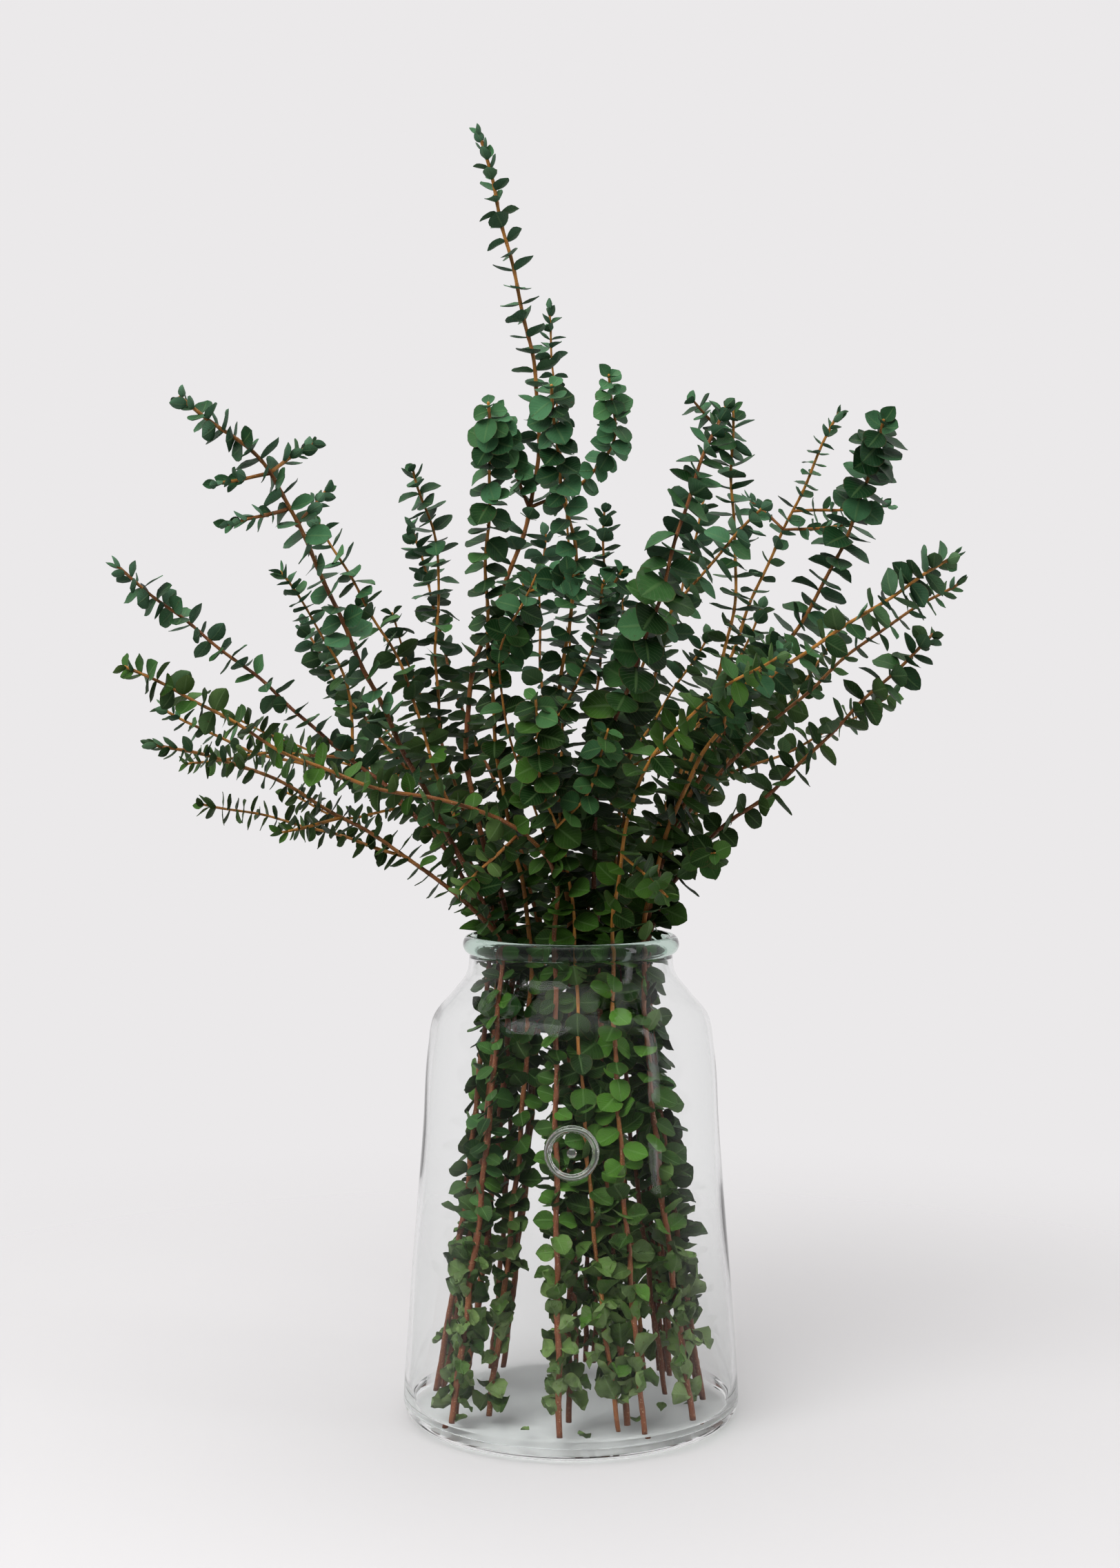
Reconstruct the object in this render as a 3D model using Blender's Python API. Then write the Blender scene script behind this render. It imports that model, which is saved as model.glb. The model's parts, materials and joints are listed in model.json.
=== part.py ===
# Bunch of preserved eucalyptus branches standing in a mouth-blown clear glass jar.
# The jar stands on the plane z = 0, its axis is the Z axis and its seal faces -Y.

import math

import bpy
import numpy as np
from mathutils import Vector
from mathutils.bvhtree import BVHTree

# Jar, in metres
JAR_HEIGHT = 0.350
FOOT_RADIUS = 0.108
WALL_THICKNESS = 0.0036
FLOOR_THICKNESS = 0.0070
FLOOR_DOME = 0.0040
JAR_SIDES = 32
# Outer wall from the foot to the collar: radius and height
WALL_OUTLINE = [
    (0.1190, 0.0045),
    (0.1222, 0.0140),
    (0.1196, 0.0560),
    (0.1133, 0.1400),
    (0.1077, 0.2100),
    (0.1038, 0.2690),
    (0.1000, 0.2910),
    (0.0858, 0.3090),
    (0.0756, 0.3230),
]
NECK_RADIUS = 0.0735
COLLAR_RADIUS = 0.0785
COLLAR_HEIGHT = 0.0130

# Glass seal on the front wall
SEAL_RADIUS = 0.0185
SEAL_HEIGHT = 0.2110
SEAL_STAND_OUT = 0.0030
SEAL_RIM = 0.0032
SEAL_SIDES = 16

# Stems
STEM_SIDES = 4
TWIG_SIDES = 3
RING_SPACING = 0.070
TWIG_RING_SPACING = 0.052
TIP_SHARE = 0.45
STEM_GAP = 0.0009
SHORTEST_RADIUS = 0.0008
GLASS_GAP = 0.0012
FOOT_GAP = 0.0004
JAR_LEVELS = (0.100, 0.200, 0.290, 0.345)
NECK_REACH = 0.0660
FLOOR_REACH = 0.1060
WIDEST_LEAN = 0.105
BUNCH_OFFSET = 0.010
TWIG_RADIUS_SHARE = 0.55
TWIG_LEAF_SHARE = 0.85
TWIG_YOUNG_SHARE = 0.35
SWIRL = math.radians(10)
# On the floor the stems stand in groups: their directions from the middle, in degrees
FOOT_GROUPS = (-150, -116, -96, -62, -34, 8, 45, 82, 120, 160)
GROUP_PULL = 0.7

# Leaves
BLADE_THICKNESS = 0.0007
WAIST = 0.0014
LEAF_GAP = 0.0006
PAIR_SPACING = 0.0120
TIP_SPACING_SHARE = 0.46
FULL_SPACING_FROM_TIP = 0.100
PAIRS_PER_SOLID_PAIR = 11
FIRST_SOLID_PAIR = 2
BUD_LENGTH = 0.009
STEEPEST_LEAF = 66
# A pair that would touch something is tried again turned round its stem by these angles, in radians
TURNS_TRIED = (0.0, 0.5, -0.5, 1.0, -1.0, 1.5)
PAIR_REACH = 0.06
GROWN_TOGETHER = 0.02
# How the leaves of a branch stand: degrees above their stem's right angle, width for their length,
# mm from the stem's tip over which they are young and small, degrees by which they turn about their
# own length at random, degrees by which they turn to face outwards, and share of the usual spacing
USUAL_HABIT = (-4, 0.88, 30, 35, 8, 1.0)
LEAF_HABIT = {
    "leader": (2, 0.92, 90, 25, 5, 1.0),
    "leader_twigs": (-30, 1.05, 50, 15, 30, 0.70),
    "tall_thin": (2, 0.90, 60, 25, 5, 0.90),
    "centre_left": (-12, 0.95, 26, 25, 10, 1.0),
    "front_left": (-26, 1.02, 12, 18, 32, 0.80),
    "front_centre": (-26, 1.02, 12, 18, 32, 0.85),
    "centre_back": (0, 0.90, 40, 25, 5, 0.90),
    "rosette": (-5, 0.95, 20, 30, 20, 1.40),
    "rosette_twigs": (0, 1.0, 30, 20, 25, 0.60),
    "front_low": (-26, 0.98, 18, 20, 30, 1.0),
    "round_leaves": (-26, 1.05, 110, 18, 35, 0.90),
    "right_upright": (-8, 0.95, 26, 30, 20, 1.0),
    "red_twigs": (2, 0.80, 45, 30, 5, 1.0),
    "red_twigs_twigs": (10, 0.70, 150, 30, 0, 0.80),
    "dark_round": (-14, 1.08, 12, 30, 15, 0.72),
    "right_high": (-4, 0.80, 26, 55, 0, 0.90),
    "right_high_twigs": (0, 0.85, 80, 40, 10, 0.80),
    "right_mid": (2, 0.62, 30, 25, 0, 1.0),
    "right_low": (-4, 0.88, 30, 60, 0, 1.0),
    "left_high": (-8, 0.98, 35, 50, 10, 0.90),
    "left_high_twigs": (5, 0.80, 170, 30, 0, 0.90),
    "left_mid": (-4, 0.84, 26, 60, 0, 0.90),
    "left_mid_twigs": (2, 0.75, 60, 18, 0, 0.80),
    "left_front": (0, 0.92, 22, 55, 0, 0.90),
    "left_back": (0, 0.75, 35, 18, 0, 0.80),
    "left_low": (0, 0.72, 45, 18, 0, 0.75),
    "grey_right": (-16, 0.95, 30, 30, 20, 1.0),
    "grey_left": (-10, 0.90, 35, 30, 15, 1.0),
}
JAR_LEAF_TOP = 0.35
JAR_LEAF_FOOT = 0.05
JAR_LEAF_SHARE = 0.85

CM = 0.01
MM = 0.001

# Each branch: stem radius and leaf length in mm, the points of its way above the neck in cm from
# the middle of the jar's underside, and its side twigs in the same way, each starting at the stem.
BRANCHES = {
    "leader": (2.6, 17, [(-7.5, 1, 46), (-7, 2, 54.8), (-3.6, 2, 63.5), (-2.3, 2, 71), (-3.3, 1, 79.2),
                         (-5.2, 0, 87.2), (-6.5, -1, 92.6)],
               [[(-2.9, 2, 66), (-4.5, 0, 69.8), (-5.2, -3, 72.5)],
                [(-2.8, 2, 66), (1.1, 0, 67.9), (3.1, -4, 71.2), (2.6, -6, 74.6)]]),
    "tall_thin": (1.6, 13, [(-0.8, 8, 45), (0.1, 8, 60.7), (-0.6, 8, 69.6), (-1.3, 8, 76.7),
                            (-1.7, 8, 81.7)], []),
    "centre_left": (2.0, 18, [(-9.3, 8, 46.5), (-10.1, 10, 52.3), (-10.5, 11, 58.2), (-10.2, 11, 63.5),
                              (-10.5, 10, 67.8), (-12, 9, 69.7)],
                    [[(-9.6, 9, 48), (-11.6, 12, 52.3), (-14, 13, 58.9)]]),
    "front_left": (2.2, 17, [(-5.1, -3, 46.6), (-5.6, -4, 52.7), (-6, -5, 59.5), (-5.8, -7, 64.7),
                             (-5.4, -9, 68.8), (-5.6, -11, 72)],
                   [[(-5.6, -4, 53.5), (-3.8, -6.5, 56.5), (-3.2, -7.5, 60.5)]]),
    "front_centre": (2.2, 17, [(-1.1, -3, 47.8), (-1, -4, 52.4), (0, -5, 57.5), (0.3, -6, 62.3),
                               (-0.8, -8.5, 67.4), (-1.4, -12, 73)], []),
    "centre_back": (1.9, 18, [(1.2, 10, 46.5), (2.3, 12, 55), (2.6, 12, 60.4), (2.3, 12, 64.1),
                              (2.6, 12, 66.8)],
                    [[(2.6, 12, 60), (4.0, 10, 62)]]),
    "rosette": (1.5, 16, [(-2.6, -6, 45.5), (-4.9, -7, 50.5), (-5.0, -8, 54.6), (-3.3, -9.5, 57.2),
                          (-2.3, -10.5, 60.6)],
                [[(-2.6, -10, 59.2), (-1.1, -11.5, 60.2), (0.5, -12.5, 60.4)],
                 [(-3.6, -6.5, 48), (0.4, -9, 53), (1.8, -10, 57), (2.2, -11, 60)]]),
    "front_low": (1.8, 19, [(-0.6, -7, 42), (-2.0, -9, 46), (-2.6, -10.5, 49), (-2.4, -11.5, 52.2)],
                  [[(-0.9, -7.5, 43.2), (1.6, -9.5, 46.5), (2.4, -10.5, 50)]]),
    "round_leaves": (2.4, 25, [(1.8, -5, 45.5), (3.9, -9, 52.9), (6, -12, 59.1), (7.2, -12, 64),
                               (9.1, -11, 68.5), (10.4, -10, 71.9)], []),
    "right_upright": (2.1, 18, [(6.7, 2, 43.7), (9.3, 3, 49.7), (11.8, 4, 56.9), (12.3, 4, 62.5),
                                (11.9, 4, 67.5), (11.8, 2, 73.2)],
                      [[(11.8, 3, 71), (8.8, 1, 73.8)]]),
    "red_twigs": (2.1, 14, [(8.2, 6, 45), (11.2, 8, 52.8), (13.6, 9, 59.2), (16.2, 9, 64.8), (20.1, 7, 73.7)],
                  [[(17, 9, 66.4), (20.5, 8, 66.9), (24, 6, 66.5)],
                   [(16.3, 9, 65), (20.6, 6, 65.1)],
                   [(16.3, 9, 65), (13.8, 11, 67.6)]]),
    "dark_round": (2.3, 20, [(7.7, -3, 43.9), (11.4, -3, 50.3), (16.9, -3, 58.4), (20, -5, 65),
                             (20.4, -7, 68), (21.2, -10, 70.9)], []),
    "right_high": (2.3, 20, [(7.3, -5, 44), (10.2, -6, 49.7), (16.6, -7, 55.6), (20.9, -7, 58.3),
                             (26.6, -7, 62)],
                   [[(10.2, -6, 49.7), (11.6, -9, 52.8), (14.6, -10, 55.4)]]),
    "right_mid": (2.2, 15, [(8, 3, 42.9), (11, 3, 46.6), (18.6, 3, 53.6), (22.6, 3, 57), (28.4, 2, 60.6)],
                  [[(11, 3, 46.6), (12.6, 6, 49.6), (13.6, 8, 53)]]),
    "right_low": (2.3, 19, [(7.9, 0, 39.5), (13.6, -3, 44.9), (16.6, -4, 47.8), (23, -4, 54.3),
                            (25.6, -4, 56.6)],
                  [[(8.5, -2, 40), (8.7, -5.5, 39.4), (9.9, -7, 41.4)]]),
    "front_right": (2.0, 20, [(3.6, -8, 41.7), (5.9, -10, 48.9), (8.6, -11, 51.5), (13.8, -13, 54.9)],
                    [[(3.6, -8.4, 41), (4.8, -10, 39.2), (6.6, -10.4, 38.6)]]),
    "behind_right": (1.8, 18, [(3.8, 6, 43.5), (5.1, 8, 49.6), (8.3, 9, 53), (10.7, 10, 57.1)], []),
    "grey_right": (2.0, 19, [(3.9, 0, 45.2), (5.1, 0, 52.8), (6.6, -1, 58.7), (9, -2, 60.6),
                            (13.6, -3, 65.7)],
                   [[(4.6, 0, 47), (9.5, -1, 50.5), (14.6, 0, 56.5)]]),
    "back_right": (1.9, 18, [(7.7, 8, 42.4), (10.3, 11, 48.6), (13.1, 13, 55), (15, 13, 59.4)], []),
    "left_high": (2.7, 18, [(-9.5, -2, 43.5), (-13.8, -4, 52.3), (-15.5, -5, 56.2), (-19.6, -7, 65.2),
                            (-21.4, -8, 68.5), (-26.8, -9, 72.6)],
                  [[(-20.8, -8, 67.5), (-24.3, -10, 66.6)],
                   [(-20.8, -8, 67.5), (-18.1, -5, 70)],
                   [(-19.6, -7, 65.2), (-23.5, -10, 63.8)],
                   [(-19, -7, 64), (-17.2, -5, 66.7)]]),
    "left_mid": (2.4, 17, [(-11.4, 3, 43.5), (-17, 5, 48), (-23.8, 6, 54), (-30.8, 5, 59.5),
                           (-33.6, 4, 61.9)],
                 [[(-16.4, 5, 47.3), (-16.1, 5, 50.3), (-17.6, 4, 55.3), (-21.4, 3, 61.5)],
                  [(-16.6, 5, 47.6), (-21.6, 3, 48.1), (-28.1, 1, 47.3)]]),
    "left_front": (2.2, 16, [(-2.8, -8, 42.9), (-7, -9, 44.6), (-16.5, -9, 46.8), (-23.5, -9, 50.7),
                             (-30.6, -9, 54.3)],
                   [[(-3.5, -8, 43), (-5.6, -9.6, 40.4), (-7.8, -9.4, 38.8)]]),
    "left_back": (2.1, 14, [(-9.7, 6, 41.9), (-20.4, 9, 47.2), (-27.8, 9, 49.4), (-31.3, 9, 51.5)],
                  [[(-13, 7, 43.5), (-18, 9, 43.2), (-22, 10.5, 45)]]),
    "left_low": (2.3, 15, [(-9.3, -6, 39.3), (-16.6, -6, 44.1), (-23.3, -6, 47.5), (-29.5, -6, 49)],
                 [[(-16, -6, 43.8), (-20.2, -8, 42.8)],
                  [(-12, -6, 41), (-19, -2, 43), (-26.5, -2, 44.6)]]),
    "grey_left": (2.0, 19, [(-9.7, 5, 45.1), (-11.8, 7, 52.3), (-15.8, 8, 59.8), (-19.5, 9, 66)], []),
    "back_top_right": (2.1, 19, [(3, 9, 44), (6, 15, 52), (9, 18, 61), (10.8, 19, 68.2)],
                       [[(4.6, 12, 48), (4.6, 18, 55), (4.2, 21, 61)]]),
    "back_top_left": (2.1, 19, [(-5, 9, 44), (-8.5, 14.5, 51), (-11, 18, 60), (-12.7, 19, 66.2)], []),
    "back_far_right": (2.2, 19, [(8.5, 9, 41.5), (14, 14, 49), (19, 18, 53.5), (21.5, 19.5, 57.4)],
                       [[(12, 12, 46), (18, 13, 48.5), (25.4, 13, 52.6)]]),
    "back_far_left": (2.2, 19, [(-8.6, 9.5, 42), (-14, 14, 48), (-19, 18, 54), (-21.7, 19.5, 58.4)],
                      [[(-12, 12.5, 46), (-19, 14, 47.5), (-26.6, 14.5, 50.8)]]),
    "back_middle": (2.0, 19, [(-1, 11, 43), (-2, 17.5, 50.5), (-2.5, 20, 58), (-2, 20.5, 65.8)], []),
    "back_low_right": (1.9, 18, [(5.5, 10.5, 40.5), (9.5, 17, 44.5), (14.5, 22, 50.8)], []),
    "back_low_left": (1.9, 18, [(-4.8, 10.8, 40.5), (-10.5, 17.5, 44.8), (-16.2, 22, 51)], []),
}


def steady(*numbers):
    """A repeatable value from 0 to 1: the fraction of a large multiple of a sine of the numbers."""
    total = sum(number * factor for number, factor in zip(numbers, (12.9898, 78.233, 37.719, 4.581)))
    value = math.sin(total) * 43758.5453
    return value - math.floor(value)


def spread(low, high, *numbers):
    """A repeatable value between two limits."""
    return low + (high - low) * steady(*numbers)


def unit(vector):
    """The vector, or each row of vectors, divided by its own length."""
    return vector / np.linalg.norm(vector, axis=-1, keepdims=True)


def along(points, places):
    """Points at the given distances along a smooth curve through all the points: on each span a cubic
    whose end slopes are those of the parabola through the three nearest points."""
    points = np.asarray(points, dtype=float)
    marks = np.concatenate(([0.0], np.cumsum(np.linalg.norm(np.diff(points, axis=0), axis=1))))
    slopes = np.gradient(points, marks, axis=0)
    places = np.clip(places, 0.0, marks[-1])
    span = np.clip(np.searchsorted(marks, places, side="right") - 1, 0, len(marks) - 2)
    width = (marks[span + 1] - marks[span])[:, None]
    t = (places - marks[span])[:, None] / width
    return ((2 * t**3 - 3 * t**2 + 1) * points[span] + (t**3 - 2 * t**2 + t) * width * slopes[span]
            + (3 * t**2 - 2 * t**3) * points[span + 1] + (t**3 - t**2) * width * slopes[span + 1])


def length_of(points):
    """The length of the broken line through the points."""
    return float(np.linalg.norm(np.diff(points, axis=0), axis=1).sum())


def evenly(points, spacing):
    """Points about one spacing apart on the smooth curve through the points."""
    length = length_of(points)
    count = max(2, round(length / spacing) + 1)
    return along(points, np.linspace(0.0, length, count))


def material(name, colour, roughness, transmission=0.0):
    """A plain Principled material."""
    made = bpy.data.materials.new(name)
    made.use_nodes = True
    shader = made.node_tree.nodes["Principled BSDF"]
    shader.inputs["Base Color"].default_value = (*colour, 1.0)
    shader.inputs["Roughness"].default_value = roughness
    shader.inputs["Metallic"].default_value = 0.0
    shader.inputs["Transmission Weight"].default_value = transmission
    return made


def solid(name, vertices, faces, finish):
    """An object made of a closed mesh."""
    mesh = bpy.data.meshes.new(name)
    mesh.from_pydata([tuple(map(float, vertex)) for vertex in vertices], [], faces)
    mesh.materials.append(finish)
    made = bpy.data.objects.new(name, mesh)
    bpy.context.scene.collection.objects.link(made)
    return made


def apply_union(target, others, solver):
    """Joins a collection of solids to the target, applies the union and removes the collection."""
    joint = target.modifiers.new("union", "BOOLEAN")
    joint.operation = "UNION"
    joint.operand_type = "COLLECTION"
    joint.collection = others
    joint.solver = solver
    bpy.context.view_layer.objects.active = target
    bpy.ops.object.modifier_apply(modifier=joint.name)
    for other in list(others.objects):
        bpy.data.objects.remove(other)
    bpy.data.collections.remove(others)


# Jar

def inner_floor(radius):
    """Height of the glass floor: a shallow dome, highest on the axis."""
    return FLOOR_THICKNESS + FLOOR_DOME * (1.0 - min(1.0, radius / FOOT_RADIUS) ** 2)


def outer_profile():
    """The turned outline of the glass from the middle of the underside to the crest of the collar."""
    collar_middle = JAR_HEIGHT - COLLAR_HEIGHT / 2
    collar = [(NECK_RADIUS + (COLLAR_RADIUS - NECK_RADIUS) * math.cos(turn),
               collar_middle + COLLAR_HEIGHT / 2 * math.sin(turn))
              for turn in (math.radians(step) for step in (-75, -20, 30, 90))]
    return [(FOOT_RADIUS, 0.0)] + WALL_OUTLINE + collar


def inner_profile():
    """The outline inside the glass, from the collar's crest down to the floor."""
    mouth = [(NECK_RADIUS - WALL_THICKNESS, JAR_HEIGHT - 0.004)]
    wall = [(radius - WALL_THICKNESS, height) for radius, height in reversed(WALL_OUTLINE[2:])]
    corner = [(FOOT_RADIUS + 0.005, FLOOR_THICKNESS + 0.006), (FOOT_RADIUS, inner_floor(FOOT_RADIUS))]
    middle = [(radius, inner_floor(radius)) for radius in (0.060,)]
    return mouth + wall + corner + middle


def inner_radius(height):
    """Radius of the inside of the jar at a height."""
    profile = sorted((z, radius) for radius, z in inner_profile() if z > FLOOR_THICKNESS + 0.005)
    heights, radii = zip(*profile)
    return np.interp(height, heights, radii)


def make_jar(finish):
    """The turned glass with its seal fused to the front wall."""
    profile = outer_profile() + inner_profile()
    turns = [2 * math.pi * (side + 0.5) / JAR_SIDES - math.pi / 2 for side in range(JAR_SIDES)]
    vertices = [(radius * math.cos(turn), radius * math.sin(turn), height)
                for radius, height in profile for turn in turns]
    faces = []
    for ring in range(len(profile) - 1):
        for side in range(JAR_SIDES):
            low = ring * JAR_SIDES + side
            next_low = ring * JAR_SIDES + (side + 1) % JAR_SIDES
            faces.append((low, next_low, next_low + JAR_SIDES, low + JAR_SIDES))
    underside = len(vertices)
    vertices.append((0.0, 0.0, 0.0))
    vertices.append((0.0, 0.0, inner_floor(0.0)))
    last = (len(profile) - 1) * JAR_SIDES
    for side in range(JAR_SIDES):
        following = (side + 1) % JAR_SIDES
        faces.append((underside, following, side))
        faces.append((underside + 1, last + side, last + following))
    jar = solid("jar", vertices, faces, finish)
    seals = bpy.data.collections.new("seals")
    seals.objects.link(make_seal(finish))
    apply_union(jar, seals, "EXACT")
    return jar


def make_seal(finish):
    """A round button of glass on the sloping front wall: a rim ring round a shallow dish."""
    upper = Vector((0.0, -np.interp(SEAL_HEIGHT + 0.02, *wall_heights()), SEAL_HEIGHT + 0.02))
    lower = Vector((0.0, -np.interp(SEAL_HEIGHT - 0.02, *wall_heights()), SEAL_HEIGHT - 0.02))
    up = (upper - lower).normalized()
    out = Vector((1.0, 0.0, 0.0)).cross(up)
    middle = (upper + lower) / 2
    across = Vector((1.0, 0.0, 0.0))
    back = -WALL_THICKNESS * 0.6
    steps = [(SEAL_RADIUS, back), (SEAL_RADIUS, SEAL_STAND_OUT * 0.6),
             (SEAL_RADIUS - SEAL_RIM / 3, SEAL_STAND_OUT), (SEAL_RADIUS - SEAL_RIM, SEAL_STAND_OUT),
             (SEAL_RADIUS - SEAL_RIM * 1.5, SEAL_STAND_OUT * 0.55)]
    vertices = []
    for radius, stand_out in steps:
        for side in range(SEAL_SIDES):
            turn = 2 * math.pi * side / SEAL_SIDES
            vertices.append(middle + across * radius * math.cos(turn) + up * radius * math.sin(turn)
                            + out * stand_out)
    faces = [tuple(range(SEAL_SIDES - 1, -1, -1))]
    for ring in range(len(steps) - 1):
        for side in range(SEAL_SIDES):
            low = ring * SEAL_SIDES + side
            following = ring * SEAL_SIDES + (side + 1) % SEAL_SIDES
            faces.append((low, following, following + SEAL_SIDES, low + SEAL_SIDES))
    faces.append(tuple(range((len(steps) - 1) * SEAL_SIDES, len(steps) * SEAL_SIDES)))
    return solid("seal", vertices, faces, finish)


def wall_heights():
    """Heights and radii of the outer wall, for interpolation."""
    radii, heights = zip(*WALL_OUTLINE[2:])
    return heights, radii


# Stems

class Chain:
    """One stem or twig: its points from foot to tip, its radius, its branch and what it grows from."""

    def __init__(self, branch, points, radius, parent=None, sides=STEM_SIDES, leaf=0.018):
        self.branch = branch
        self.rest = np.array(points)
        self.points = np.array(points)
        self.radius = radius
        self.parent = parent
        self.sides = sides
        self.leaf = leaf
        if parent is not None:
            self.hold = nearest_place(parent.rest, self.rest[0])
            self.rest[0] = place_on(parent.rest, self.hold)
            self.points = self.rest.copy()

    def radii(self):
        """Radius at each point, falling evenly from foot to tip."""
        share = np.linspace(1.0, TIP_SHARE, len(self.points))
        return np.maximum(self.radius * share, SHORTEST_RADIUS)


def nearest_place(points, target):
    """Span number and share of the span that lie nearest a target on a broken line."""
    starts = points[:-1]
    spans = points[1:] - starts
    share = np.clip(np.sum((target - starts) * spans, axis=1) / np.sum(spans * spans, axis=1), 0.0, 1.0)
    gaps = np.linalg.norm(starts + share[:, None] * spans - target, axis=1)
    best = int(np.argmin(gaps))
    return best, float(share[best])


def place_on(points, hold):
    """The point at a span number and share of the span."""
    span, share = hold
    return points[span] * (1.0 - share) + points[span + 1] * share


def way_in_jar(first, radius):
    """Points from the floor to the neck for a stem that leaves the neck towards its first outer point:
    it comes together with the others at the neck and spreads below it towards its group of feet."""
    direction = math.atan2(first[1], first[0] + BUNCH_OFFSET)
    lean = min(1.0, math.hypot(first[0] + BUNCH_OFFSET, first[1]) / WIDEST_LEAN)
    neck = (NECK_REACH - radius) * lean ** 0.8
    floor = FLOOR_REACH * (0.35 + 0.65 * lean ** 0.9)
    turns = [math.remainder(math.radians(group) - direction - SWIRL, 2 * math.pi) for group in FOOT_GROUPS]
    swing = SWIRL + GROUP_PULL * min(turns, key=abs)
    way = []
    for level in (inner_floor(floor - radius) + FOOT_GAP, *JAR_LEVELS):
        drop = max(0.0, (0.330 - level) / 0.330)
        reach = neck + (floor - neck) * drop ** 1.4
        turn = direction + swing * drop
        way.append((reach * math.cos(turn), reach * math.sin(turn), level))
    return way


def lay_chains():
    """Every stem and twig on its hand-chosen way, in rings about one spacing apart."""
    chains = []
    for name, (radius, leaf, way, twigs) in BRANCHES.items():
        outer = np.array(way) * CM
        jar_way = way_in_jar(outer[0], radius * MM)
        whole = np.array(jar_way + [tuple(point) for point in outer])
        above = along(whole, np.linspace(length_of(whole[:len(jar_way)]), length_of(whole),
                                         round(length_of(whole[len(jar_way) - 1:]) / RING_SPACING) + 1))
        points = np.concatenate((whole[:len(jar_way) - 1], above))
        stem = Chain(name, points, radius * MM, leaf=leaf * MM)
        chains.append(stem)
        for twig in twigs:
            route = evenly(np.array(twig) * CM, TWIG_RING_SPACING)
            chains.append(Chain(name, route, radius * MM * TWIG_RADIUS_SHARE, stem, TWIG_SIDES,
                                leaf * MM * TWIG_LEAF_SHARE))
    return chains


def closest_places(starts, spans, first, second):
    """Shares of two straight spans where they come nearest each other, for arrays of pairs."""
    gap = starts[first] - starts[second]
    one = spans[first]
    two = spans[second]
    a = np.sum(one * one, axis=1)
    e = np.sum(two * two, axis=1)
    f = np.sum(two * gap, axis=1)
    c = np.sum(one * gap, axis=1)
    b = np.sum(one * two, axis=1)
    slant = np.maximum(a * e - b * b, 1e-14)
    s = np.clip((b * f - c * e) / slant, 0.0, 1.0)
    t = np.clip((b * s + f) / e, 0.0, 1.0)
    s = np.clip((b * t - c) / a, 0.0, 1.0)
    return s, t


def settle(chains, rounds=260, loose_share=0.6, pull_back=0.04, smoothing=0.15, reach=0.008):
    """Pushes crossing stems apart and keeps them inside the glass. In the first, loose share of the
    rounds they are also pulled back to their own way and their shift is evened along them. Returns
    the smallest gap between two branches."""
    counts = [len(chain.points) for chain in chains]
    offsets = np.concatenate(([0], np.cumsum(counts)))
    rest = np.concatenate([chain.rest for chain in chains])
    points = rest.copy()
    radii = np.concatenate([chain.radii() for chain in chains])
    branches = {name: number for number, name in enumerate(BRANCHES)}
    owner = np.concatenate([[branches[chain.branch]] * count for chain, count in zip(chains, counts)])
    heads = np.concatenate([np.arange(low, low + count - 1) for low, count in zip(offsets, counts)])
    first_all, second_all = np.triu_indices(len(heads), 1)
    other = owner[heads[first_all]] != owner[heads[second_all]]
    first_all = first_all[other]
    second_all = second_all[other]
    feet = np.array([low for low, chain in zip(offsets, chains) if chain.parent is None])
    grown = [(low, chains.index(chain.parent), chain.hold) for low, chain in zip(offsets, chains)
             if chain.parent is not None]
    closest = 0.0
    for turn in range(rounds):
        if turn < rounds * loose_share:
            points += pull_back * (rest - points)
            shift = points - rest
            for low, high in zip(offsets[:-1], offsets[1:]):
                middle = (shift[low:high - 2] + shift[low + 2:high]) / 2
                points[low + 1:high - 1] += smoothing * (middle - shift[low + 1:high - 1])
        starts = points[heads]
        spans = points[heads + 1] - starts
        middles = starts + spans / 2
        halves = np.linalg.norm(spans, axis=1) / 2
        near = (np.linalg.norm(middles[first_all] - middles[second_all], axis=1)
                < halves[first_all] + halves[second_all] + reach)
        first = first_all[near]
        second = second_all[near]
        s, t = closest_places(starts, spans, first, second)
        apart = (starts[first] + s[:, None] * spans[first]) - (starts[second] + t[:, None] * spans[second])
        distance = np.maximum(np.linalg.norm(apart, axis=1), 1e-6)
        thick = (np.maximum(radii[heads[first]], radii[heads[first] + 1])
                 + np.maximum(radii[heads[second]], radii[heads[second] + 1]))
        lack = thick + STEM_GAP - distance
        closest = float(np.min(distance - thick))
        tight = lack > 0
        push = (apart / distance[:, None] * (lack * 0.5)[:, None])[tight]
        s = s[tight][:, None]
        t = t[tight][:, None]
        moves = np.zeros_like(points)
        weights = np.zeros(len(points))
        for head, share, way in ((heads[first[tight]], s, push), (heads[second[tight]], t, -push)):
            scale = share**2 + (1 - share)**2
            np.add.at(moves, head, way * (1 - share) / scale)
            np.add.at(moves, head + 1, way * share / scale)
            np.add.at(weights, head, np.ones(len(head)) * 0.5)
            np.add.at(weights, head + 1, np.ones(len(head)) * 0.5)
        points += moves / np.maximum(weights, 1.0)[:, None]
        keep_in_glass(points, radii)
        points[feet, 2] = rest[feet, 2]
        for low, parent, hold in grown:
            points[low] = place_on(points[offsets[parent]:offsets[parent + 1]], hold)
    for chain, low, high in zip(chains, offsets[:-1], offsets[1:]):
        chain.points = points[low:high]
    return closest


def keep_in_glass(points, radii):
    """Moves points below the rim inwards until their stem clears the glass."""
    reach = np.hypot(points[:, 0], points[:, 1])
    limit = inner_radius(points[:, 2]) * math.cos(math.pi / JAR_SIDES) - radii * 1.15 - GLASS_GAP
    inside = points[:, 2] < JAR_HEIGHT + 0.004
    tight = inside & (reach > limit)
    points[tight, :2] *= (limit[tight] / reach[tight])[:, None]


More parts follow.
